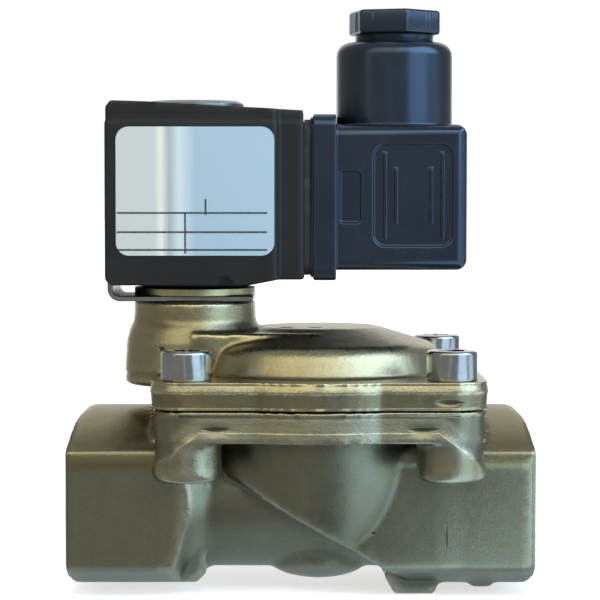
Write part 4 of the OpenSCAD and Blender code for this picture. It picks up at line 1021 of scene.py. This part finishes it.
@dataclass
class BodyGroup(SubAssembly):
    """Forged valve body with the pipe threads in its two ports."""

    voxel: float = 0.53 * MM
    relax: int = 3
    ripple: float = 0.015 * MM
    layers: Tuple[Tuple[float, int, float], ...] = ((7 * MM, 11, 1.0), (2.4 * MM, 12, 0.5))
    seat_x: float = 3.1 * MM
    bolt_half: float = 22.13 * MM
    boss_r: float = 5.9 * MM
    flange_t: float = 5.2 * MM
    lip_h: float = 1.9 * MM
    lip_start: float = 19.8 * MM
    lip_fall: float = 0.75
    lip_lean: float = 0.14
    lip_step: float = 0.26 * MM
    lip_deepest: float = 0.72 * MM
    edge_reach: float = 0.05 * MM
    # Strength of the painted highlights on the left boss, the right port's end rim and the left hub's cone
    # strip.
    highlight_share: float = 0.5
    hub_x: Levels = mm(22, 26)
    bay_x: Levels = mm(20, 26)
    neck_x: Levels = mm(-25, -24, -15, -14)
    neck_top: float = 24 * MM
    strip_x: Levels = mm(-20.2, -18.8, -15.8, -15.0)
    rim_x: Levels = mm(37.2, 38.2)
    rim_low: float = 4 * MM
    waist_x: Levels = mm(-15.5, -14, 0, 12)
    waist_z: Levels = mm(14, 20)
    foot_z: Levels = mm(1.4, 2.2)
    end_round: float = 1.7 * MM
    end_depth: float = 0.5 * MM
    band_x: Levels = mm(22, 24)
    band_z: Levels = mm(22.4, 22.7, 24.6, 25.1)
    thread_start: float = 2.5 * MM
    thread_end: float = 15.6 * MM
    pitch: float = 1.814 * MM
    thread_h: float = 1.16 * MM
    thread_gap: float = 0.04 * MM
    thread_wall: float = 0.3 * MM

    def build(self) -> None:
        """Build the body and both threads."""
        copy = CadCopy("valve_body", "forged_body").soften(self.voxel, self.relax)
        points, normals = copy.points(), copy.normals()
        zone, depth = self.lip(points, normals)
        depth = depth + self.end(points, normals) - self.ripple * ripples(points, self.layers)
        copy.move_to(points - normals * depth[:, None])
        self.paint(copy, points, normals, zone)
        self.take(copy.close(), Slot.BODY_BRASS)
        for name in ("outlet", "inlet"):
            self.take(self.thread(name), Slot.TURNED_BRASS)

    def base(self) -> float:
        """Height of the flange's lower face."""
        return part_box("valve_body")[1][2] - self.flange_t

    def paint(self, copy: CadCopy, points: np.ndarray, normals: np.ndarray, zone: np.ndarray) -> None:
        """Store edge wear, painted highlights, tints and painted shade on the body.

        Args:
            copy: Body to paint.
            points: Points of the body before its edges were shaped.
            normals: Normals at those points.
            zone: Mask of the flange's edge.
        """
        x, _, z = points.T
        boss, below, low = self.boss(points), z < self.base(), z < self.neck_top
        under = below * (1 - boss) * (1 - step(np.abs(x - self.seat_x), *self.bay_x))
        # Edge wear; the extra share at the left hub's neck paints highlights along the cone's borders.
        gain = 0.35 + 0.65 * np.maximum(zone, under) + 0.8 * window(x, self.neck_x) * low
        # Painted highlights: the right-facing half of the left boss, the right port's end rim and the left
        # hub's cone strip.
        boss_highlight = boss * below * (x < 0) * step(normals[:, 0], -0.35, 0.1)
        rim = step(x, *self.rim_x) * (z < self.band_z[2]) * (z > self.rim_low)
        strip = window(x, self.strip_x) * low
        copy.mark_edges(self.edge_reach, gain, self.highlight_share * (boss_highlight + 0.7 * rim + 0.5 * strip))
        upper = step(normals[:, 2], 0.15, 0.6) * step(np.abs(x), *self.hub_x)
        band = window(z, self.band_z) * step(np.abs(x), *self.band_x)
        copy.paint("warm", 0.75 * upper + 0.8 * band).paint("lip", zone)
        # Painted shade under the flange, over the waist and on the foot.
        waist = window(x, self.waist_x) * (1 - step(z, *self.waist_z))
        foot = 1 - step(z, *self.foot_z)
        copy.paint("shade", 0.3 * under + 0.35 * waist + 0.9 * foot)

    def boss(self, points: np.ndarray) -> np.ndarray:
        """Mask of the four screw bosses: 1 within their radius, seen from above."""
        across = np.abs(points[:, :2] - np.array([self.seat_x, 0])) - self.bolt_half
        return 1 - step(np.hypot(*across.T), self.boss_r + 0.3 * MM, self.boss_r + 1.3 * MM)

    def lip(self, points: np.ndarray, normals: np.ndarray) -> Tuple[np.ndarray, np.ndarray]:
        """Tiers of the flange's edge: what lies above a border steps back, the rim below it leans up.

        With w the distance from the seat's axis along x, the border lies lip_h - lip_fall (w - lip_start)
        above the flange's lower face, so it slants down over the outer side of each boss.

        Args:
            points: Points of the body.
            normals: Normals at the points.

        Returns:
            Mask of the flange's edge, and depth to take off at each point.
        """
        x, y, z = points.T
        side, base = np.abs(x - self.seat_x), self.base()
        border = base + self.lip_h - self.lip_fall * np.maximum(side - self.lip_start, 0)
        zone = np.maximum(self.boss(points), step(z, base - 0.5 * MM, base))
        zone = zone * step((x - self.seat_x) * normals[:, 0] + y * normals[:, 1], 8 * MM, 13 * MM)
        zone = zone * step(np.hypot(*normals.T[:2]), 0.45, 0.8)
        zone = zone * (side < self.bolt_half + self.boss_r + 0.5 * MM)
        above = z - border
        lean = self.lip_lean * np.clip(z - base, 0, self.lip_h)
        back = self.lip_step * step(above, -0.5 * MM, 0.7 * MM) + self.lip_lean * np.maximum(above, 0)
        return zone, zone * np.maximum(lean, np.minimum(back, self.lip_deepest))

    def end(self, points: np.ndarray, normals: np.ndarray) -> np.ndarray:
        """Rounding of the port faces' outer edge: depth = e (1 - sqrt(1 - t t)), t the share of its width.

        Args:
            points: Points of the body.
            normals: Normals at the points.

        Returns:
            Depth to take off at each point.
        """
        place, radius = mount("inlet_port")
        share = (np.abs(points[:, 0]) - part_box("valve_body")[1][0] + self.end_round) / self.end_round
        share = np.clip(share, 0, 1)
        outside = np.hypot(points[:, 1], points[:, 2] - place[2]) > radius + 0.9 * MM
        side = (1 - step(np.abs(normals[:, 0]), 0.75, 0.95)) * (points[:, 2] < self.band_z[2])
        return self.end_depth * outside * side * (1 - np.sqrt(1 - share ** 2))

    def thread(self, name: str) -> bpy.types.Object:
        """Pipe thread as a sleeve: r = R - h t(x / pitch - turn / 2 pi), its tooth t fading at both ends.

        Args:
            name: Name of the port.

        Returns:
            The new object.
        """
        place, port_r = mount(f"{name}_port")
        side, face_x = np.sign(place[0]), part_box("valve_body")[1][0]
        turn = np.linspace(0, 2 * np.pi, 96, endpoint=False)
        depth = np.linspace(self.thread_start, self.thread_end, 126)[:, None]
        phase = (depth / self.pitch - turn / (2 * np.pi)) % 1.0
        tooth = step(1 - np.abs(2 * phase - 1), 0.08, 0.92)
        fade = window(depth, (self.thread_start, self.thread_start + self.pitch,
                              self.thread_end - self.pitch, self.thread_end))
        inner = port_r - self.thread_gap - self.thread_h * tooth * fade
        outer = np.full_like(inner, port_r + self.thread_wall)
        r = np.concatenate([inner, outer[::-1]])
        along = np.concatenate([depth, depth[::-1]]) + 0 * turn
        points = np.stack([side * (face_x - along), r * np.cos(turn), place[2] + r * np.sin(turn)], -1)
        return add_piece(f"{name}_thread", points.reshape(-1, 3), grid_quads(len(r), len(turn), True, True))


@dataclass
class CoverGroup(SubAssembly):
    """Forged cover with its dome and pilot tower, and the four cap screws."""

    voxel: float = 0.38 * MM
    relax: int = 3
    ripple: float = 0.015 * MM
    layers: Tuple[Tuple[float, int, float], ...] = ((6 * MM, 21, 1.0), (1.8 * MM, 22, 0.6))
    flange_t: float = 4.6 * MM
    flash_z: float = 2.9 * MM
    flash_step: float = 0.15 * MM
    draft_up: float = 0.20
    draft_down: float = 0.07
    edge_reach: float = 0.04 * MM
    tower_shade: float = 0.45
    tower_x: Levels = mm(-27, -23, -18, -14)
    tower_z: Levels = mm(2, 5)
    dome_shade: float = 0.25
    dome_x: Levels = mm(-12, -8, 4, 11)
    dome_z: Levels = mm(3, 6)
    head_edge: float = 0.6 * MM
    head_h: float = 5.0 * MM
    head_r: float = 4.25 * MM
    shank_r: float = 2.45 * MM
    socket_half: float = 2.0 * MM

    def build(self) -> None:
        """Build the cover and the screws."""
        copy = CadCopy("cover", "forged_cover").soften(self.voxel, self.relax)
        points, normals = copy.points(), copy.normals()
        zone, depth = self.flash(points, normals)
        depth = depth - self.ripple * ripples(points, self.layers)
        copy.move_to(points - normals * depth[:, None])
        copy.mark_edges(self.edge_reach).paint("lip", zone).paint("shade", self.tower_dome_shade(points, normals))
        self.take(copy.close(), Slot.COVER_BRASS)
        self.take(self.screws(), Slot.ZINC)

    def tower_dome_shade(self, points: np.ndarray, normals: np.ndarray) -> np.ndarray:
        """Painted shade on the front of the tower and low on the dome.

        Args:
            points: Points of the cover.
            normals: Normals at the points.

        Returns:
            Shade at each point, 0 to 1.
        """
        x, _, z = points.T
        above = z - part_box("cover")[0][2] - self.flange_t
        front = step(-normals[:, 1], 0.3, 0.6)
        tower = window(x, self.tower_x) * step(above, *self.tower_z)
        dome = window(x, self.dome_x) * (1 - step(above, *self.dome_z))
        return front * (self.tower_shade * tower + self.dome_shade * dome * (above > 0))

    def flash(self, points: np.ndarray, normals: np.ndarray) -> Tuple[np.ndarray, np.ndarray]:
        """Draft of the flange's edge: from a ragged flash line it falls back both upwards and downwards.

        Args:
            points: Points of the cover.
            normals: Normals at the points.

        Returns:
            Mask of the flange's edge, and depth to take off at each point.
        """
        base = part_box("cover")[0][2]
        away = points - 0.5 * sum(corners("cover_screws"))
        zone = 1 - step(points[:, 2], base + self.flange_t, base + self.flange_t + 0.3 * MM)
        zone = zone * step(np.hypot(*normals.T[:2]), 0.5, 0.85)
        zone = zone * step(np.sum(away[:, :2] * normals[:, :2], axis=1), 16 * MM, 20 * MM)
        above = points[:, 2] - base - self.flash_z + 0.12 * MM * cloud(points, 2.2 * MM, 23)
        fall = np.where(above > 0, self.draft_up * above, -self.draft_down * above)
        step_back = self.flash_step * (1 - step(above, -0.5 * MM, 0.1 * MM))
        return zone, zone * (fall + step_back)

    def screws(self) -> bpy.types.Object:
        """Four cap screws: r(u, v) runs from the shank over the rounded head into a six-sided socket.

        Returns:
            One object with the four screws.
        """
        low, high = corners("cover_screws")
        r, h, edge = self.head_r, self.head_h, self.head_edge
        shank = high[2] - h - low[2]
        outside = np.concatenate([
            [[0, -shank], [self.shank_r - 0.4 * MM, -shank],
             [self.shank_r, 0.4 * MM - shank], [self.shank_r, 0], [r - 0.25 * MM, 0]],
            arc((r - 0.2 * MM, 0.2 * MM), 0.2 * MM, -60, 0, 4),
            arc((r - edge, h - edge), edge, 0, 90, 9),
            [[self.socket_half + 0.75 * MM, h], [self.socket_half + 0.45 * MM, h - 0.06 * MM]],
        ])
        socket = np.array([[1.0, h - 0.3 * MM], [1.0, 0.5 * h], [0.0, 0.42 * h]])
        turn = np.linspace(0, 2 * np.pi, 96, endpoint=False)
        six = hexagon(turn, self.socket_half, 60.0)
        radius = np.concatenate([outside[:, :1] + 0 * turn, socket[:, :1] * six])
        height = np.concatenate([outside[:, 1], socket[:, 1]])[:, None] + high[2] - h + 0 * turn
        one = np.stack([radius * np.cos(turn), radius * np.sin(turn), height], -1).reshape(-1, 3)
        quads = grid_quads(len(radius), len(turn), False, True)
        reach = 0.5 * (high - low) - r
        shifts = np.array([[a * reach[0], b * reach[1], 0] for a in (-1, 1) for b in (-1, 1)])
        shifts = shifts + 0.5 * (low + high) * np.array([1, 1, 0])
        points = (one[None] + shifts[:, None]).reshape(-1, 3)
        faces = (quads[None] + (np.arange(4) * len(one))[:, None, None]).reshape(-1, 4)
        piece = add_piece("cap_screws", points, faces, 30.0)
        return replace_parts(piece, "cover_screws")


@dataclass(frozen=True)
class SpringShape:
    """A round-wire compression spring with closed ends that fills the place of its node."""

    node: str
    wire: float
    turns: float
    steps: int = 40
    dead_turns: float = 0.75
    dead_rise: float = 0.06
    blur: int = 17

    def piece(self, name: str, joint: str, lift: float) -> bpy.types.Object:
        """Build the spring: a circle carried along a helix whose pitch closes up at both ends.

        Args:
            name: Name of the piece.
            joint: Not used.
            lift: Not used.

        Returns:
            The new object.
        """
        low, high = corners(self.node)
        middle, radius = 0.5 * (low + high), 0.5 * (high[0] - low[0]) - self.wire
        share = np.linspace(0, 1, int(self.steps * self.turns) + 1)
        turn = 2 * np.pi * self.turns * share
        dead = self.dead_turns / self.turns
        rise = np.interp(share, [0, dead, 1 - dead, 1], [0.0, self.dead_rise, 1 - self.dead_rise, 1.0])
        rise = np.pad(rise, self.blur // 2, mode="edge")
        rise = np.convolve(rise, np.ones(self.blur) / self.blur, mode="valid")
        height = low[2] + self.wire + (high[2] - low[2] - 2 * self.wire) * rise
        path = np.stack([middle[0] + radius * np.cos(turn), middle[1] + radius * np.sin(turn), height], -1)
        points, quads = carry(path, (0, 0, 1), arc((0, 0), self.wire, 0, 330, 12))
        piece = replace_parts(add_piece(name, points, quads), self.node)
        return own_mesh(piece)


@dataclass
class MembraneGroup(SubAssembly):
    """Main diaphragm with its plates, stud, nut and closing spring."""

    spring: SpringShape = SpringShape("diaphragm_spring", 0.5 * MM, 5.5)
    lift: float = 5.0 * MM
    hole_r: float = 2.65 * MM
    roll_in: float = 12.6 * MM
    roll_out: float = 18.4 * MM
    roll_rise: float = 1.7 * MM
    skin: float = 0.5 * MM
    disc_t: float = 1.1 * MM
    gap: float = 0.05 * MM
    lap: float = 0.2 * MM

    def build(self) -> None:
        """Build the diaphragm and the spring, and dress the rest."""
        self.take(self.spring.piece("closing_spring", "diaphragm_lift", self.lift), Slot.STAINLESS)
        low, high = corners("diaphragm")
        middle = (0.5 * (low[0] + high[0]), 0.0, 0.0)
        rim_r, base, top = 0.5 * (high[0] - low[0]), low[2] + self.gap, high[2] - self.gap
        disc = self.ring(self.hole_r, self.roll_in, base, base + self.disc_t)
        self.take(self.skin_piece("diaphragm_centre", disc, middle), Slot.RUBBER, Body.DIAPHRAGM)
        rim = self.ring(self.roll_out, rim_r, base, top)
        self.take(self.skin_piece("diaphragm_rim", rim, middle), Slot.RUBBER)
        roll = self.skin_piece("diaphragm_roll", self.roll(base, top), middle)
        self.show(roll, Slot.RUBBER)
        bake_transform(roll)
        self.dress_nodes("diaphragm_plate", "seat_plate", "diaphragm_stud", "diaphragm_nut")

    def skin_piece(self, name: str, profile: np.ndarray, middle: Point) -> bpy.types.Object:
        """One part of the diaphragm: a closed profile turned about the seat's axis."""
        points, quads = lathe(profile, 120, middle)
        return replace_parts(add_piece(name, points, quads), "diaphragm")

    @staticmethod
    def ring(inner: float, outer: float, low: float, high: float) -> np.ndarray:
        """Profile of a flat ring with rounded edges: four quarter circles joined by straight lines.

        Args:
            inner: Inner radius.
            outer: Outer radius.
            low: Lower face's height.
            high: Upper face's height.

        Returns:
            Pairs of radius and height.
        """
        r = 0.3 * (high - low)
        bends = ((outer - r, low + r, -90), (outer - r, high - r, 0), (inner + r, high - r, 90),
                 (inner + r, low + r, 180))
        return np.concatenate([arc((x, z), r, start, start + 90, 5) for x, z, start in bends])

    def roll(self, base: float, top: float) -> np.ndarray:
        """Profile of the rolling part: a skin that climbs from the disc over half a wave to the rim.

        Its middle line is z(t) = base + skin + (top - base - 2 skin) t + rise sin(pi t), with t from 0 to 1.

        Args:
            base: Height of the disc's lower face.
            top: Height of the rim's upper face.

        Returns:
            Pairs of radius and height.
        """
        share = np.linspace(0, 1, 25)
        line_r = self.roll_in - self.lap + (self.roll_out - self.roll_in + 2 * self.lap) * share
        line_z = base + self.skin + (top - base - 2 * self.skin) * share
        line_z = line_z + self.roll_rise * np.sin(np.pi * share)
        along = np.stack([np.gradient(line_r), np.gradient(line_z)], -1)
        along /= np.linalg.norm(along, axis=1, keepdims=True)
        side = 0.5 * self.skin * np.stack([-along[:, 1], along[:, 0]], -1)
        line = np.stack([line_r, line_z], -1)
        return np.concatenate([line + side, (line - side)[::-1]])


@dataclass
class PilotGroup(SubAssembly):
    """Guide tube with its core, plunger, spring and the nut that holds the coil."""

    spring: SpringShape = SpringShape("plunger_spring", 0.3 * MM, 9.0)
    lift: float = 1.8 * MM
    nut_edge: float = 0.15 * MM

    def build(self) -> None:
        """Build the spring and the nut, and dress the rest."""
        self.take(self.spring.piece("return_spring", "plunger_lift", self.lift), Slot.STAINLESS)
        self.take(CadCopy("coil_nut", "coil_disc_nut").chamfer(self.nut_edge).close(), Slot.NUT)
        self.dress_nodes("pilot_nozzle", "guide_tube", "tube_o_ring", "fixed_core", "shading_ring", "plunger",
                         "plunger_seal")


@dataclass
class CoilGroup(SubAssembly):
    """Coil in its moulded housing, with the yoke, the washer and the label."""

    body: Body = Body.COIL
    voxel: float = 0.36 * MM
    relax: int = 3
    band_h: float = 3.7 * MM
    band_step: float = 0.16 * MM
    edge_reach: float = 0.04 * MM
    strip_edge: float = 0.2 * MM

    def build(self) -> None:
        """Build the housing and the yoke, and dress the rest."""
        copy = CadCopy("coil_housing", "coil_case").soften(self.voxel, self.relax)
        points, normals = copy.points(), copy.normals()
        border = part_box("coil_housing")[1][2] - self.band_h
        upright = step(np.hypot(*normals.T[:2]), 0.5, 0.85)
        back = upright * step(points[:, 2], border - 0.15 * MM, border + 0.25 * MM)
        copy.move_to(points - normals * (self.band_step * back)[:, None])
        self.take(copy.mark_edges(self.edge_reach).close(), Slot.COIL)
        self.take(CadCopy("yoke", "coil_yoke").chamfer(self.strip_edge).close(), Slot.YOKE)
        self.take(CadCopy("flux_washer", "coil_washer").chamfer(self.strip_edge).close(), Slot.YELLOW)
        self.dress_nodes("bobbin", "winding", "rating_label")


@dataclass
class PlugGroup(SubAssembly):
    """Right-angle cable plug with its contacts, screw, seals and cable gland."""

    body: Body = Body.COIL
    edge: float = 0.3 * MM
    hex_h: float = 4.2 * MM
    hex_half: float = 7.27 * MM
    hex_turn: float = 13.0
    hex_soft: float = 0.55 * MM
    neck_r: float = 6.8 * MM
    rib_h: float = 0.13 * MM
    rib_half: float = 0.16 * MM
    ribs_even: Tuple[float, ...] = (-2.1 * MM,)
    ribs_odd: Tuple[float, ...] = (0.84 * MM, 1.68 * MM)

    def build(self) -> None:
        """Build the housing and the gland nut, and dress the rest."""
        self.take(CadCopy("plug_housing", "plug_cap").chamfer(self.edge).close(), Slot.PLUG)
        self.take(self.gland_nut(), Slot.PLUG)
        self.dress_nodes("insert_nut", "connector_blades", "connector_gasket", "plug_insert",
                         "plug_terminals", "terminal_screws", "plug_screw", "screw_seal",
                         "cable_grommet", "gland_washer")

    def ribs(self, turn: np.ndarray) -> np.ndarray:
        """Grip ribs: height h where the place along a hexagon's side is within a half width of a rib.

        Args:
            turn: Angles in radians, with a side at angle 0.

        Returns:
            Height of the ribs at each angle.
        """
        side = np.floor(turn / (np.pi / 3) + 0.5).astype(int)
        offset = np.tan(turn - side * np.pi / 3) * self.hex_half
        height = np.zeros_like(turn)
        for parity, places in enumerate((self.ribs_even, self.ribs_odd)):
            for place in places:
                near = 1 - step(np.abs(offset - place), 0.5 * self.rib_half, 1.5 * self.rib_half)
                height = np.maximum(height, self.rib_h * near * (side % 2 == parity))
        return height

    def gland_nut(self) -> bpy.types.Object:
        """Gland nut: r(u, v) follows the neck as a circle and the head as a rounded hexagon with grip ribs.

        Returns:
            The new object.
        """
        turn = np.linspace(0, 2 * np.pi, 600, endpoint=False)
        low, high = corners("gland_nut")
        bore = mount("cable_entry")[1]
        base, z1, soft = low[2], high[2], self.hex_soft
        z0 = z1 - self.hex_h
        rows = [(bore, base, 0), (bore, z1 - 0.9 * MM, 0), (bore + 0.5 * MM, z1 - 0.3 * MM, 0),
                (bore + 0.9 * MM, z1, 0), (self.hex_half - 2 * soft, z1, 0.6)]
        for start, level, sign in ((90, z1, -1), (0, z0, 1)):
            rows += [(self.hex_half + soft * (math.cos(a) - 1), level + soft * (math.sin(a) + sign), 1)
                     for a in np.radians(np.linspace(start, start - 90, 7))]
        rows += [(self.neck_r + 0.2 * MM, z0, 0), (self.neck_r, z0 - 0.3 * MM, 0), (self.neck_r, base, 0)]
        size, height, six = (np.array(column)[:, None] for column in zip(*rows))
        side = turn - math.radians(self.hex_turn)
        wall = window(height, (z0 + 0.3 * MM, z0 + 0.7 * MM, z1 - 0.7 * MM, z1 - 0.3 * MM))
        radius = size * (1 + six * (hexagon(side, 1.0, 44.0) - 1))
        radius = radius + (self.ribs(side) * wall - 0.12 * MM) * (six == 1)
        middle = 0.5 * (low[0] + high[0])
        points = np.stack([middle + radius * np.cos(turn), radius * np.sin(turn), height + 0 * turn], -1)
        quads = grid_quads(len(rows), len(turn), True, True)
        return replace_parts(add_piece("gland_cap_nut", points.reshape(-1, 3), quads, 50.0), "gland_nut")


@dataclass(frozen=True)
class Lamp:
    """One soft area lamp that looks at a point of the object and shows in no reflection."""

    name: str
    place: Point
    size: Pair
    power: float
    colour: Colour

    def hang(self, aim: Point) -> None:
        """Put the lamp in the scene.

        Args:
            aim: Point that the lamp looks at.
        """
        light = bpy.data.lights.new(self.name, "AREA")
        light.shape = "RECTANGLE"
        light.size, light.size_y = self.size
        light.energy = self.power
        light.color = self.colour
        lamp = bpy.data.objects.new(self.name, light)
        lamp.location = self.place
        direction = np.array(aim) - np.array(self.place)
        tilt = math.atan2(math.hypot(direction[0], direction[1]), -direction[2])
        lamp.rotation_euler = (tilt, 0.0, math.atan2(direction[0], -direction[1]) + math.pi)
        lamp.visible_camera = False
        lamp.visible_glossy = False
        bpy.context.scene.collection.objects.link(lamp)


@dataclass(frozen=True)
class Panel:
    """A bright panel of the surroundings, by its bearing right of the camera and the sine of its height."""

    tone: Colour
    bearing: Pair
    height: Pair
    soft: float = 3.0
    soft_height: float = 0.04

    def mask(self, bearing: Value, height: Value) -> Value:
        """Mask of the panel: 1 within its bearings and heights."""
        return bearing.between(*self.bearing, self.soft) * height.between(*self.height, self.soft_height)


@dataclass
class Studio:
    """Camera, lamps, pale floor, white background and the cards that metal reflects."""

    camera_place: Point = (-0.0001, -0.410, 0.0689)
    camera_pitch: float = 90 - 2.584
    focal_px: float = 2333.0
    image_px: float = 600.0
    sensor: float = 36.0
    aim: Point = (0.0, 0.0, 0.05)
    sky: float = 0.42
    floor_half: float = 6.0
    floor_drop: float = 0.05 * MM
    floor_plain: Colour = (0.80, 0.80, 0.80)
    floor_near: Colour = (0.62, 0.62, 0.62)
    floor_far: Colour = (0.95, 0.95, 0.95)
    floor_fade: Pair = (0.15, 0.9)
    card_r: float = 1.6
    card_turn: Pair = (120.0, 420.0)
    card_rise: Pair = (-1.0, 89.0)
    skirt_r: float = 0.002
    skirt_z: float = 0.2 * MM
    dim_left: Colour = (0.285, 0.282, 0.242)
    dim_right: Colour = (0.24, 0.275, 0.29)
    ceiling: Colour = (0.30, 0.31, 0.32)
    under: Colour = (0.46, 0.56, 0.62)
    under_half: Pair = (0.050, 0.024)
    under_soft: float = 0.006
    lamps: Tuple[Lamp, ...] = (
        Lamp("window_lamp", (0.62, -0.52, 0.28), (0.42, 0.60), 5.2, (0.56, 0.79, 1.0)),
        Lamp("warm_lamp", (-0.62, -0.46, 0.34), (0.14, 0.60), 1.3, (1.0, 0.88, 0.66)),
        Lamp("front_lamp", (0.06, -0.62, 0.66), (0.55, 0.26), 2.4, (1.0, 0.97, 0.88)),
        Lamp("top_lamp", (0.05, 0.15, 0.85), (0.6, 0.6), 1.0, (1.0, 0.98, 0.94)),
    )
    panels: Tuple[Panel, ...] = (
        Panel((0.97, 1.29, 1.46), (27.0, 67.0), (-0.5, 0.18), 4.0),
        Panel((0.95, 1.15, 1.2), (75.0, 102.0), (-0.5, 0.06), 3.0),
        Panel((2.3, 2.98, 3.7), (29.0, 93.0), (0.19, 0.80), 3.0),
        Panel((1.95, 2.05, 1.80), (-1.0, 29.0), (0.30, 0.80), 5.0),
        Panel((1.52, 1.40, 1.00), (-52.0, -1.0), (0.27, 0.80), 5.0),
        Panel((1.2, 1.1, 0.88), (-58.0, -50.0), (0.08, 0.5), 2.0),
        Panel((0.62, 0.62, 0.58), (-10.0, -6.5), (-0.5, 0.3), 1.0),
    )

    def build(self) -> None:
        """Set up camera, lamps, floor, cards and world."""
        bpy.context.scene.view_settings.view_transform = "Standard"
        self.camera()
        for lamp in self.lamps:
            lamp.hang(self.aim)
        self.floor()
        self.cards()
        self.world()

    def camera(self) -> None:
        """Camera at the place from which the valve was seen."""
        lens = bpy.data.cameras.new("camera")
        lens.sensor_width = self.sensor
        lens.lens = self.focal_px / self.image_px * self.sensor
        lens.clip_start = 0.01
        eye = bpy.data.objects.new("camera", lens)
        eye.location = self.camera_place
        eye.rotation_euler = (math.radians(self.camera_pitch), 0.0, 0.0)
        bpy.context.scene.collection.objects.link(eye)
        bpy.context.scene.camera = eye

    @staticmethod
    def by_ray(s: Shader, unseen: bpy.types.Node, seen: bpy.types.Node) -> bpy.types.Node:
        """Show one shader to rays from the camera, glossy and clear surfaces, and another to the rest.

        Args:
            s: Tree of both shaders.
            unseen: Shader for the rays that only light the scene.
            seen: Shader for the rays that look at it.

        Returns:
            The mixed shader.
        """
        path = s.node("ShaderNodeLightPath")
        rays = [Value(s, path.outputs[f"Is {kind} Ray"]) for kind in ("Camera", "Glossy", "Transmission")]
        share = (rays[0] + rays[1] + rays[2]).clip()
        return s.node("ShaderNodeMixShader", None, {0: share, 1: unseen.outputs[0], 2: seen.outputs[0]})

    def floor(self) -> None:
        """Pale floor that is lit white and keeps the shadow: a flat grid just under height 0."""
        line = np.linspace(-self.floor_half, self.floor_half, 3)
        x, y = np.meshgrid(line, line, indexing="ij")
        points = np.stack([x, y, np.full_like(x, -self.floor_drop)], -1).reshape(-1, 3)
        floor = add_piece("floor", points, grid_quads(3, 3, False, False))
        if floor.data.polygons[0].normal.z < 0:
            floor.data.flip_normals()
        s = Shader("pale_floor")
        x, y, _ = s.axes()
        white = s.mix(self.floor_near, self.floor_far, ((x * x + y * y) ** 0.5).rise(*self.floor_fade))
        plain = s.node("ShaderNodeBsdfDiffuse", None, {"Color": self.floor_plain})
        shown = self.by_ray(s, s.glow((0.0, 0.0, 0.0), 0.0), s.glow(white))
        both = s.node("ShaderNodeAddShader", None, {0: plain.outputs[0], 1: shown.outputs[0]})
        floor.data.materials.append(s.close(both))

    def cards(self) -> None:
        """Two cards on the camera's side that only reflections see: part of a sphere and a ring under it."""
        turn = np.radians(np.linspace(*self.card_turn, 101))
        rise = np.radians(np.linspace(*self.card_rise, 31))[:, None]
        out = self.card_r * np.cos(rise)
        dome = np.stack([out * np.cos(turn), out * np.sin(turn), self.card_r * np.sin(rise) + 0 * turn], -1)
        out = np.geomspace(self.skirt_r, self.card_r, 12)[:, None]
        ring = np.stack([out * np.cos(turn), out * np.sin(turn), self.skirt_z + 0 * out * turn], -1)
        glow = self.surround()
        for name, points in (("room_card", dome), ("table_card", ring)):
            card = add_piece(name, points.reshape(-1, 3), grid_quads(len(points), len(turn), False, False))
            card.data.materials.append(glow)
            for ray in ("camera", "diffuse", "shadow", "transmission"):
                setattr(card, f"visible_{ray}", False)

    def surround(self) -> bpy.types.Material:
        """Glow of the cards: dim and warm on the left, cool on the right, with the bright panels.

        Returns:
            The finished material.
        """
        s = Shader("room_glow")
        x, y, z = s.axes()
        bearing = s.math("ARCTAN2", x, 0.0 - y) * (180 / math.pi)
        height = z / self.card_r
        tone = s.mix(self.dim_left, self.dim_right, bearing.rise(-25.0, 35.0))
        tone = s.mix(tone, self.ceiling, height.rise(0.5, 0.9))
        for panel in self.panels:
            tone = s.mix(tone, panel.tone, panel.mask(bearing, height))
        near = 1 - height.rise(0.1, 0.2)
        for axis, half in zip((x, y), self.under_half):
            near = near * (1 - abs(axis).rise(half - self.under_soft, half + self.under_soft))
        return s.close(s.glow(s.mix(tone, self.under, near)))

    def world(self) -> None:
        """White surroundings for the eye and for reflections, soft light for the rest."""
        world = bpy.data.worlds.new("studio")
        bpy.context.scene.world = world
        s = Shader(world)
        white = s.node("ShaderNodeBackground", None, {"Color": (1.0, 1.0, 1.0), "Strength": 1.0})
        soft = s.node("ShaderNodeBackground", None, {"Color": (0.97, 0.98, 1.0), "Strength": self.sky})
        s.close(self.by_ray(s, soft, white), "World")


def write_sizes() -> None:
    """Update the view layer."""
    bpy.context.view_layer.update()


def main() -> None:
    """Build the valve's sub-assemblies in order, then the studio."""
    logging.basicConfig(level=logging.INFO, format="%(message)s")
    finishes = Finishes()
    for group in (BodyGroup, CoverGroup, MembraneGroup, PilotGroup, CoilGroup, PlugGroup):
        group(finishes).build()
    Studio().build()
    write_sizes()


if __name__ == "__main__":
    main()
